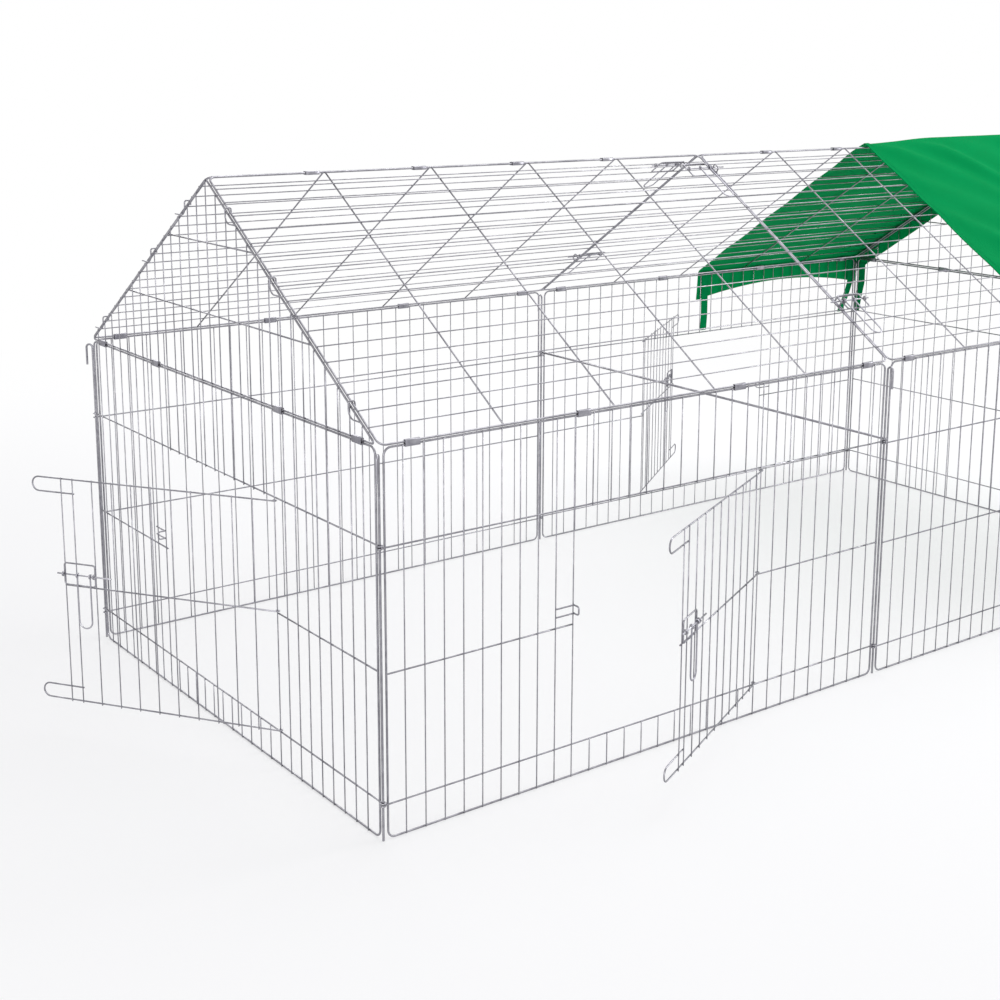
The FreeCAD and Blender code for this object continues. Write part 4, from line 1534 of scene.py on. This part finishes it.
    def _strap(self, edges: list[Vector], top: float, inwards: Vector, lean: Vector) -> bpy.types.Object:
        """Hang one flat strap from its seam.

        Args:
            edges: the two ends of its width, at no height.
            top: height of its seam.
            inwards: way towards the run, along which it curls a little.
            lean: how far its free end lies aside.

        Returns:
            The strap with its thickness.
        """
        tape = self.straps
        bottom = self.low - tape.drop
        shares = spaced(0, 1, tape.columns)
        rows, flat = [], []
        for z in spaced(top, bottom, tape.rows):
            free = max(0.0, (self.low - z) / tape.drop)
            bow = tape.curl * math.sin(free * tape.curl_turn) * free - tape.pull * free * free
            offset = inwards * bow + lean * free
            points = [edges[0].lerp(edges[1], share) for share in shares]
            rows.append([p + Vector((0, 0, z)) + offset for p in points])
            flat.append([(share * tape.width * MM, (top - z) * MM) for share in shares])
        obj = self._patch("tie_strap", rows, flat)
        self._thicken(obj, tape.cloth)
        return obj

    def build(self, bench: Bench, finishes: "Finishes") -> None:
        """Make the cover and its straps, dress them and let them ride on the run.

        Args:
            bench: where the thread is cut.
            finishes: the run's finishes.
        """
        cloth, hems, straps = self.build_cloth(), self.build_hems(), self.build_straps()
        stitches = self.build_stitches(bench, finishes.thread)
        for piece, material in ((cloth, finishes.cover), (hems, finishes.cover), (straps, finishes.strap)):
            piece.data.materials.clear()
            piece.data.materials.append(material)
        stand_for(cloth, "sun_cover")
        for sewn in (hems, stitches):
            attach(sewn, RUN_BODY)
            report(sewn)
        stand_for(straps, "cover_straps")


def linear(code: str) -> tuple[float, float, float, float]:
    """Turn an sRGB hex colour to linear.

    Args:
        code: colour such as #8090a0.

    Returns:
        Red, green, blue and full alpha.
    """
    parts = [int(code[i : i + 2], 16) / 255 for i in (1, 3, 5)]
    turned_parts = [c / 12.92 if c <= 0.04045 else ((c + 0.055) / 1.055) ** 2.4 for c in parts]
    return (*turned_parts, 1.0)


def add_node(
    tree: bpy.types.NodeTree, kind: str, settings: dict[str, object] | None = None, **links: object
) -> bpy.types.Node:
    """Add a node with its settings, values and links.

    Args:
        tree: the material's nodes.
        kind: the node's type.
        settings: properties of the node itself.
        **links: a value or an output socket for each input, by its name with _ for a space, or by
            i and its number.

    Returns:
        The new node.
    """
    new = tree.nodes.new(kind)
    for name, value in (settings or {}).items():
        setattr(new, name, value)
    for name, value in links.items():
        key = int(name[1:]) if name[0] == "i" and name[1:].isdigit() else name.replace("_", " ")
        socket = new.inputs[key]
        if isinstance(value, bpy.types.NodeSocket):
            tree.links.new(value, socket)
        else:
            socket.default_value = value
    return new


def new_material(name: str) -> tuple[bpy.types.Material, bpy.types.NodeTree, bpy.types.Node]:
    """Start a material with nothing but its shader.

    Args:
        name: name of the material.

    Returns:
        The material, its nodes and its shader.
    """
    material = bpy.data.materials.new(name)
    material.use_nodes = True
    tree = material.node_tree
    tree.nodes.clear()
    shader = tree.nodes.new("ShaderNodeBsdfPrincipled")
    output = tree.nodes.new("ShaderNodeOutputMaterial")
    tree.links.new(shader.outputs["BSDF"], output.inputs["Surface"])
    return material, tree, shader


@dataclass(frozen=True)
class ZincWire:
    """Galvanised steel wire: drawn, welded and dipped in zinc.

    The dip leaves a pale grey metal, cloudy in patches a few millimetres across, duller and a
    little darker where a weld was hot. The spans are the noise values between which the zinc goes
    from cloudy to pale, and from dull to smooth.
    """

    name: str
    pale: str
    cloudy: str
    burnt: str
    smooth: float
    dull: float
    cloud_mm: float = 9.0
    wire_mm: float = 55.0
    grit_mm: float = 0.9
    grit_height_mm: float = 0.1
    grit_strength: float = 0.25
    tone_span: Pair = (0.12, 0.4)
    gloss_span: Pair = (0.1, 0.42)

    def make(self) -> bpy.types.Material:
        """Build the finish.

        Returns:
            The material.
        """
        material, tree, shader = new_material(self.name)
        place = add_node(tree, "ShaderNodeTexCoord").outputs["Object"]
        noises = [
            add_node(tree, "ShaderNodeTexNoise", Vector=place, Scale=1 / (size * MM), Detail=detail)
            for size, detail in ((self.cloud_mm, 3.0), (self.wire_mm, 1.0), (self.grit_mm, 2.0))
        ]
        cloud, broad, grit = (new.outputs["Fac"] for new in noises)
        heat = add_node(tree, "ShaderNodeAttribute", {"attribute_name": WELD_HEAT}).outputs["Fac"]
        both = add_node(tree, "ShaderNodeMath", {"operation": "MULTIPLY"}, i0=cloud, i1=broad)
        spread = add_node(
            tree, "ShaderNodeMapRange", Value=both.outputs[0],
            From_Min=self.tone_span[0], From_Max=self.tone_span[1],
        )
        zinc = add_node(
            tree, "ShaderNodeMix", {"data_type": "RGBA"},
            i0=spread.outputs[0], i6=linear(self.cloudy), i7=linear(self.pale),
        )
        worn = add_node(
            tree, "ShaderNodeMix", {"data_type": "RGBA"},
            i0=heat, i6=zinc.outputs[2], i7=linear(self.burnt),
        )
        rough = add_node(
            tree, "ShaderNodeMapRange", Value=both.outputs[0],
            From_Min=self.gloss_span[0], From_Max=self.gloss_span[1],
            To_Min=self.dull, To_Max=self.smooth,
        )
        bump = add_node(
            tree, "ShaderNodeBump",
            Strength=self.grit_strength, Distance=self.grit_height_mm * MM, Height=grit,
        )
        shader.inputs["Metallic"].default_value = 1.0
        tree.links.new(worn.outputs[2], shader.inputs["Base Color"])
        tree.links.new(rough.outputs[0], shader.inputs["Roughness"])
        tree.links.new(bump.outputs["Normal"], shader.inputs["Normal"])
        return material


@dataclass(frozen=True)
class PolyesterCloth:
    """Coated polyester in a plain weave: soft sheen, fine crossed threads, faint uneven dye.

    The real threads lie about half a millimetre apart; they are drawn at the given spacing, which
    is coarser in the cover and its straps, so that the weave shows.
    """

    name: str
    colour: str
    shade: str
    thread_mm: float
    roughness: float = 0.82
    gloss: float = 0.02
    sheen: float = 0.004
    sheen_roughness: float = 0.5
    dye_mm: float = 70.0
    wobble: float = 0.4
    thread_tone: Pair = (0.86, 1.06)
    thread_height_mm: float = 0.4
    thread_strength: float = 0.35

    def make(self) -> bpy.types.Material:
        """Build the finish.

        Returns:
            The material.
        """
        material, tree, shader = new_material(self.name)
        coords = add_node(tree, "ShaderNodeTexCoord")
        scale = 2 * math.pi / (WAVE_TURN * self.thread_mm * MM)
        threads = [
            add_node(
                tree, "ShaderNodeTexWave", {"bands_direction": direction},
                Vector=coords.outputs["UV"], Scale=scale, Distortion=self.wobble, Detail=1.0,
            ).outputs["Fac"]
            for direction in ("X", "Y")
        ]
        weave = add_node(tree, "ShaderNodeMath", {"operation": "MULTIPLY"}, i0=threads[0], i1=threads[1])
        dye = add_node(
            tree, "ShaderNodeTexNoise",
            Vector=coords.outputs["Object"], Scale=1 / (self.dye_mm * MM), Detail=3.0,
        )
        tone = add_node(
            tree, "ShaderNodeMix", {"data_type": "RGBA"},
            i0=dye.outputs["Fac"], i6=linear(self.shade), i7=linear(self.colour),
        )
        depth = add_node(
            tree, "ShaderNodeMapRange", Value=weave.outputs[0],
            To_Min=self.thread_tone[0], To_Max=self.thread_tone[1],
        )
        colour = add_node(
            tree, "ShaderNodeMix", {"data_type": "RGBA", "blend_type": "MULTIPLY"},
            i0=1.0, i6=tone.outputs[2], i7=depth.outputs[0],
        )
        bump = add_node(
            tree, "ShaderNodeBump", Strength=self.thread_strength,
            Distance=self.thread_height_mm * MM, Height=weave.outputs[0],
        )
        tree.links.new(colour.outputs[2], shader.inputs["Base Color"])
        tree.links.new(bump.outputs["Normal"], shader.inputs["Normal"])
        shader.inputs["Roughness"].default_value = self.roughness
        shader.inputs["Specular IOR Level"].default_value = self.gloss
        shader.inputs["Sheen Weight"].default_value = self.sheen
        shader.inputs["Sheen Roughness"].default_value = self.sheen_roughness
        return material


@dataclass
class Finishes:
    """The finishes that the run's pieces share."""

    wire: bpy.types.Material
    latch: bpy.types.Material
    clip: bpy.types.Material
    cover: bpy.types.Material
    strap: bpy.types.Material
    thread: bpy.types.Material

    @classmethod
    def mixed(cls) -> "Finishes":
        """Make every finish once.

        Returns:
            The finishes.
        """
        wire = ZincWire("galvanised_wire", "#a2a1a7", "#7d7c83", "#6e6d74", smooth=0.24, dull=0.42)
        latch = ZincWire("bright_zinc_wire", "#b2b1b7", "#92919a", "#807f86", smooth=0.22, dull=0.4)
        clip = ZincWire("zinc_clip_sheet", "#a3a2a9", "#7f7e86", "#7f7e86", smooth=0.3, dull=0.5)
        cover = PolyesterCloth("coated_polyester_cover", "#009150", "#008848", 2.0)
        strap = PolyesterCloth("woven_polyester_tape", "#008a4e", "#007d45", 1.6, roughness=0.88)
        thread = PolyesterCloth("polyester_thread", "#17a068", "#0a935b", 0.5, roughness=0.6)
        return cls(*(finish.make() for finish in (wire, latch, clip, cover, strap, thread)))


def seen_ray(tree: bpy.types.NodeTree) -> bpy.types.NodeSocket:
    """Tell what the camera sees, straight, mirrored or through something, from what gives light.

    Args:
        tree: the nodes of the floor or the world.

    Returns:
        A socket that is 1 for what is seen and 0 for the rest.
    """
    path = add_node(tree, "ShaderNodeLightPath").outputs
    straight = add_node(
        tree, "ShaderNodeMath", {"operation": "ADD"}, i0=path["Is Camera Ray"], i1=path["Is Glossy Ray"]
    )
    return add_node(
        tree, "ShaderNodeMath", {"operation": "ADD", "use_clamp": True},
        i0=straight.outputs[0], i1=path["Is Transmission Ray"],
    ).outputs[0]


@dataclass(frozen=True)
class Lamp:
    """Soft oblong lamp: place, sizes and aim in metres, power in watts."""

    name: str
    spot: Triple
    power: float
    wide: float
    deep: float
    aim_x: float = 0.0
    aim_z: float = 0.4

    def hang(self) -> None:
        """Hang the lamp and point it."""
        data = bpy.data.lights.new(self.name, "AREA")
        data.energy, data.shape, data.size, data.size_y = self.power, "RECTANGLE", self.wide, self.deep
        lamp = bpy.data.objects.new(self.name, data)
        bpy.context.scene.collection.objects.link(lamp)
        lamp.location = self.spot
        aim = Vector((self.aim_x, 0, self.aim_z)) - Vector(self.spot)
        lamp.rotation_euler = aim.to_track_quat("-Z", "Y").to_euler()


@dataclass
class Studio:
    """Floor, light and camera: a wide lamp overhead, two at the front and a weak one behind.

    Distances are in metres, the camera's angles in degrees, its lens and sensor in millimetres. Over
    the sweep's two distances from the middle, the floor goes from its near glow to white.
    """

    floor_size: float = 40.0
    floor_drop: float = 0.0005
    sweep: Pair = (1.4, 3.6)
    near_glow: float = 0.6
    soft_light: float = 0.45
    lamps: tuple[Lamp, ...] = (
        Lamp("top_lamp", (1.5, -0.3, 3.4), 80.0, 4.2, 2.4, aim_x=1.5),
        Lamp("key_lamp", (-3.4, -3.0, 1.2), 62.0, 2.2, 2.2),
        Lamp("fill_lamp", (4.4, -1.9, 1.5), 84.0, 1.6, 1.6),
        Lamp("back_lamp", (0.6, 3.8, 2.2), 45.0, 2.2, 2.2),
    )
    azimuth: float = -37.807
    elevation: float = 11.642
    roll: float = 0.499
    place: Triple = (-2.25317, -2.40354, 1.16895)
    lens: float = 56.986
    sensor: float = 36.0
    shift: Pair = (-0.04739, -0.12478)

    def build(self) -> None:
        """Set the stage."""
        self._floor()
        self._world()
        for lamp in self.lamps:
            lamp.hang()
        self._camera()

    def _floor(self) -> None:
        """Lay a plain pale floor that keeps a soft shadow."""
        deselect()
        bpy.ops.mesh.primitive_plane_add(size=self.floor_size, location=(0, 0, -self.floor_drop))
        floor = bpy.context.object
        floor.name = "studio_floor"
        material = bpy.data.materials.new("matt_white_floor")
        material.use_nodes = True
        tree = material.node_tree
        tree.nodes.clear()
        paint = add_node(tree, "ShaderNodeBsdfDiffuse", Color=linear("#f4f4f6"))
        glow = add_node(tree, "ShaderNodeEmission", Color=linear("#ffffff"), Strength=1.0)
        place = add_node(tree, "ShaderNodeTexCoord").outputs["Object"]
        away = add_node(tree, "ShaderNodeVectorMath", {"operation": "LENGTH"}, i0=place)
        sweep = add_node(
            tree, "ShaderNodeMapRange", {"interpolation_type": "SMOOTHSTEP"}, Value=away.outputs["Value"],
            From_Min=self.sweep[0], From_Max=self.sweep[1], To_Min=self.near_glow, To_Max=1.0,
        )
        share = add_node(
            tree, "ShaderNodeMath", {"operation": "MULTIPLY"}, i0=seen_ray(tree), i1=sweep.outputs[0]
        )
        mix = add_node(
            tree, "ShaderNodeMixShader", i0=share.outputs[0], i1=paint.outputs[0], i2=glow.outputs[0]
        )
        output = tree.nodes.new("ShaderNodeOutputMaterial")
        tree.links.new(mix.outputs[0], output.inputs["Surface"])
        floor.data.materials.append(material)

    def _world(self) -> None:
        """Light everything softly from all sides, in front of white."""
        world = bpy.data.worlds.new("studio_white")
        bpy.context.scene.world = world
        world.use_nodes = True
        tree = world.node_tree
        tree.nodes.clear()
        soft = add_node(tree, "ShaderNodeBackground", Color=linear("#fbfbff"), Strength=self.soft_light)
        white = add_node(tree, "ShaderNodeBackground", Color=linear("#ffffff"), Strength=1.0)
        mix = add_node(
            tree, "ShaderNodeMixShader", i0=seen_ray(tree), i1=soft.outputs[0], i2=white.outputs[0]
        )
        output = tree.nodes.new("ShaderNodeOutputWorld")
        tree.links.new(mix.outputs[0], output.inputs["Surface"])

    def _camera(self) -> None:
        """Stand the camera where the photograph was taken."""
        az, el, roll = (math.radians(a) for a in (self.azimuth, self.elevation, self.roll))
        back = Vector((math.sin(az) * math.cos(el), -math.cos(az) * math.cos(el), math.sin(el)))
        level = (-back).cross(Vector((0, 0, 1))).normalized()
        above = level.cross(-back)
        right = level * math.cos(roll) + above * math.sin(roll)
        upright = above * math.cos(roll) - level * math.sin(roll)
        data = bpy.data.cameras.new("photo_camera")
        data.lens, data.sensor_width = self.lens, self.sensor
        data.shift_x, data.shift_y = self.shift
        camera = bpy.data.objects.new("photo_camera", data)
        bpy.context.scene.collection.objects.link(camera)
        camera.matrix_world = Matrix((
            (right.x, upright.x, back.x, self.place[0]),
            (right.y, upright.y, back.y, self.place[1]),
            (right.z, upright.z, back.z, self.place[2]),
            (0, 0, 0, 1),
        ))
        bpy.context.scene.camera = camera


@dataclass
class PetRun:
    """The whole run: every wire, clip and cloth piece in its place.

    The gap counts of a wall with a door are before, across and after the doorway. A step is how
    far a wall's cross wires lie above those of the side walls with a door.
    """

    bench: Bench
    finishes: Finishes
    plain_gaps: int = 28
    side_gaps: tuple[int, int, int] = (9, 11, 8)
    end_gaps: tuple[int, int, int] = (8, 12, 8)
    plain_step: float = -4.0
    end_step: float = 4.0
    front_open: float = 26.8
    left_open: float = 34.3
    back_open: float = 36.0
    upper_latch: float = 16.5
    lower_latch: float = 4.5
    eave_clip_gaps: tuple[int, ...] = (0, 9, 18, 27)
    gable_clip_gaps: tuple[int, ...] = (0, 7, 20, 27)
    ridge_clip_inset: float = 25.0

    def __post_init__(self) -> None:
        """Work out the uprights' places and where each panel stands."""
        edge = SIZES.side_half - SIZES.edge_gap
        keep = SIZES.keeper_inset - SIZES.side_half
        self.side_hinge = keep + SIZES.side_door
        self.side_plain = spaced(-edge, edge, self.plain_gaps)
        self.side_with_door = stepped([-edge, keep, self.side_hinge, edge], self.side_gaps)
        edge = SIZES.end_half - SIZES.edge_gap
        half_door = SIZES.end_door / 2
        self.end_plain = spaced(-edge, edge, self.plain_gaps)
        self.end_with_door = stepped([-edge, -half_door, half_door, edge], self.end_gaps)
        long, wide = SIZES.section_length, SIZES.run_width
        self.stand = {
            "front_left": moved(-long / 2, -wide / 2, 0),
            "front_right": moved(long / 2, -wide / 2, 0),
            "back_left": moved(-long / 2, wide / 2, 0) @ turned(180, Axis.UP),
            "back_right": moved(long / 2, wide / 2, 0) @ turned(180, Axis.UP),
            "left_end": moved(-long, 0, 0) @ turned(-90, Axis.UP),
            "right_end": moved(long, 0, 0) @ turned(90, Axis.UP),
        }

    def _make(
        self,
        node: str,
        place: Matrix,
        builder: Builder,
        material: bpy.types.Material,
        suffix: str,
    ) -> None:
        """Build one node's piece and dress it.

        Args:
            node: the node that it stands for.
            place: where its own frame stands in the run.
            builder: method that fills it.
            material: its finish.
            suffix: what the piece's name ends with.
        """
        piece = Assembly(self.bench, node, place)
        builder(piece)
        obj = piece.make(material, suffix)
        stand_for(obj, node)

    def _wires(self, node: str, place: Matrix, builder: Builder) -> None:
        """Build a node of galvanised wire."""
        self._make(node, place, builder, self.finishes.wire, "wires")

    def _latch(self, node: str, place: Matrix, latch: Latch) -> None:
        """Build a latch's bolt and handle."""
        for part, builder in (("bolt", latch.bolt), ("handle", latch.handle)):
            self._make(f"{node}_{part}", place, builder, self.finishes.latch, "wire")

    def _clips(self, node: str, place: Matrix, clips: Clips) -> None:
        """Build a row of clips."""
        self._make(node, place, clips.build, self.finishes.clip, "sheet")

    def build_walls(self) -> None:
        """Stand the wall panels and hang the doors."""
        side_opening = (self.side_gaps[0], sum(self.side_gaps[:2]))
        end_opening = (self.end_gaps[0], sum(self.end_gaps[:2]))
        front = WallPanel(SIZES.side_half, self.side_with_door, 0.0, side_opening)
        plain = WallPanel(SIZES.side_half, self.side_plain, self.plain_step)
        left = WallPanel(SIZES.end_half, self.end_with_door, self.end_step, end_opening)
        right = WallPanel(SIZES.end_half, self.end_plain, self.end_step)
        for name, panel in (
            ("front_left", front), ("front_right", plain), ("back_left", plain),
            ("back_right", front), ("left_end", left), ("right_end", right),
        ):
            self._wires(f"{name}_panel", self.stand[name], panel.build)
        half_long = SIZES.section_length / 2
        side_x, side_y = self.side_hinge - half_long, SIZES.run_width / 2 + SIZES.mesh_set
        end_x, end_y = 2 * half_long + SIZES.mesh_set, SIZES.end_door / 2
        front_door, left_door = Door(SIZES.side_door, front), Door(SIZES.end_door, left)
        for name, door, spot, facing in (
            ("front", front_door, moved(side_x, -side_y, 0), self.front_open),
            ("left", left_door, moved(-end_x, -end_y, 0), self.left_open - 90),
            ("back", front_door, moved(-side_x, side_y, 0), self.back_open + 180),
        ):
            place = spot @ turned(facing, Axis.UP)
            self._wires(f"{name}_door", place, door.build)
            self._latch(f"{name}_door", place, door.latch())

    def build_roof(self) -> None:
        """Lay the roof panels and set the gables and their hooks."""
        eave = moved(0, -SIZES.run_width / 2, SIZES.eave_z)
        lean = eave @ turned(math.degrees(SIZES.slope) - 90, Axis.ALONG)
        gaps = (self.upper_latch, self.lower_latch)
        for slope, facing in (("front", 0), ("back", 180)):
            for side, x in (("left", -1), ("right", 1)):
                way = Way.RIGHT if (side == "left") == (slope == "front") else Way.LEFT
                own, other = gaps if side == "left" else gaps[::-1]
                panel = RoofPanel(way, own, other)
                name = f"{slope}_{side}_roof"
                middle = moved(x * SIZES.section_length / 2, 0, 0)
                place = middle @ turned(facing, Axis.UP) @ lean
                self._wires(name, place, panel.build)
                self._latch(name, place, panel.latch())
        for name, uprights in (("left", self.end_with_door), ("right", self.end_plain)):
            place = moved(0, 0, SIZES.eave_z) @ self.stand[f"{name}_end"]
            self._wires(f"{name}_gable", place, Gable(uprights).build)
            self._wires(f"{name}_gable_hooks", place, GableHooks().build)

    def build_rods(self) -> None:
        """Push the rods through their eyes, hooks facing out of the run, and set the tie bar."""
        long, half = SIZES.section_length, SIZES.run_width / 2
        for name, x, y, facing in (
            ("front_left", -long, -half, 45), ("back_left", -long, half, -45),
            ("front_middle", 0, -half, 90), ("back_middle", 0, half, -90),
            ("front_right", long, -half, -45), ("back_right", long, half, 45),
        ):
            self._wires(f"{name}_rod", moved(x, y, 0) @ turned(facing, Axis.UP), CornerRod().build)
        self._wires("tie_bar", Matrix(), TieBar().build)

    def build_clips(self) -> None:
        """Close the clips round the eave, gable and ridge wires."""
        thin = SIZES.frame_wire / 2 + SIZES.clearance
        tall = 2 * SIZES.frame_half + SIZES.stack_gap / 2 + SIZES.clearance
        level = SIZES.wall_height + SIZES.stack_gap / 2
        for name, stand, uprights, gaps in (
            ("front_left_eave", "front_left", self.side_with_door, self.eave_clip_gaps),
            ("front_right_eave", "front_right", self.side_plain, self.eave_clip_gaps),
            ("back_left_eave", "back_left", self.side_plain, self.eave_clip_gaps),
            ("back_right_eave", "back_right", self.side_with_door, self.eave_clip_gaps),
            ("left_gable", "left_end", self.end_with_door, self.gable_clip_gaps),
            ("right_gable", "right_end", self.end_plain, self.gable_clip_gaps),
        ):
            places = [(uprights[i] + uprights[i + 1]) / 2 for i in gaps]
            self._clips(f"{name}_clips", self.stand[stand], Clips(thin, tall, places, level))
        crossings = spaced(-SIZES.roof_half, SIZES.roof_half, RoofPanel.cross_gaps)[1:-1]
        ridge = [x - self.ridge_clip_inset for x in crossings]
        clips = Clips(tall, SIZES.frame_half + SIZES.clearance, ridge, SIZES.ridge_z)
        for name, x in (("left", -1), ("right", 1)):
            self._clips(f"{name}_ridge_clips", moved(x * SIZES.section_length / 2, 0, 0), clips)

    def build(self) -> None:
        """Build every sub-assembly in order."""
        self.build_walls()
        self.build_roof()
        self.build_rods()
        self.build_clips()
        SunCover().build(self.bench, self.finishes)


def main() -> None:
    """Load the frame, set the stage and build the run."""
    logging.basicConfig(level=logging.INFO, format="%(name)s: %(message)s")
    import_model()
    bpy.context.scene.view_settings.view_transform = "Standard"
    Studio().build()
    PetRun(Bench(), Finishes.mixed()).build()


if __name__ == "__main__":
    main()
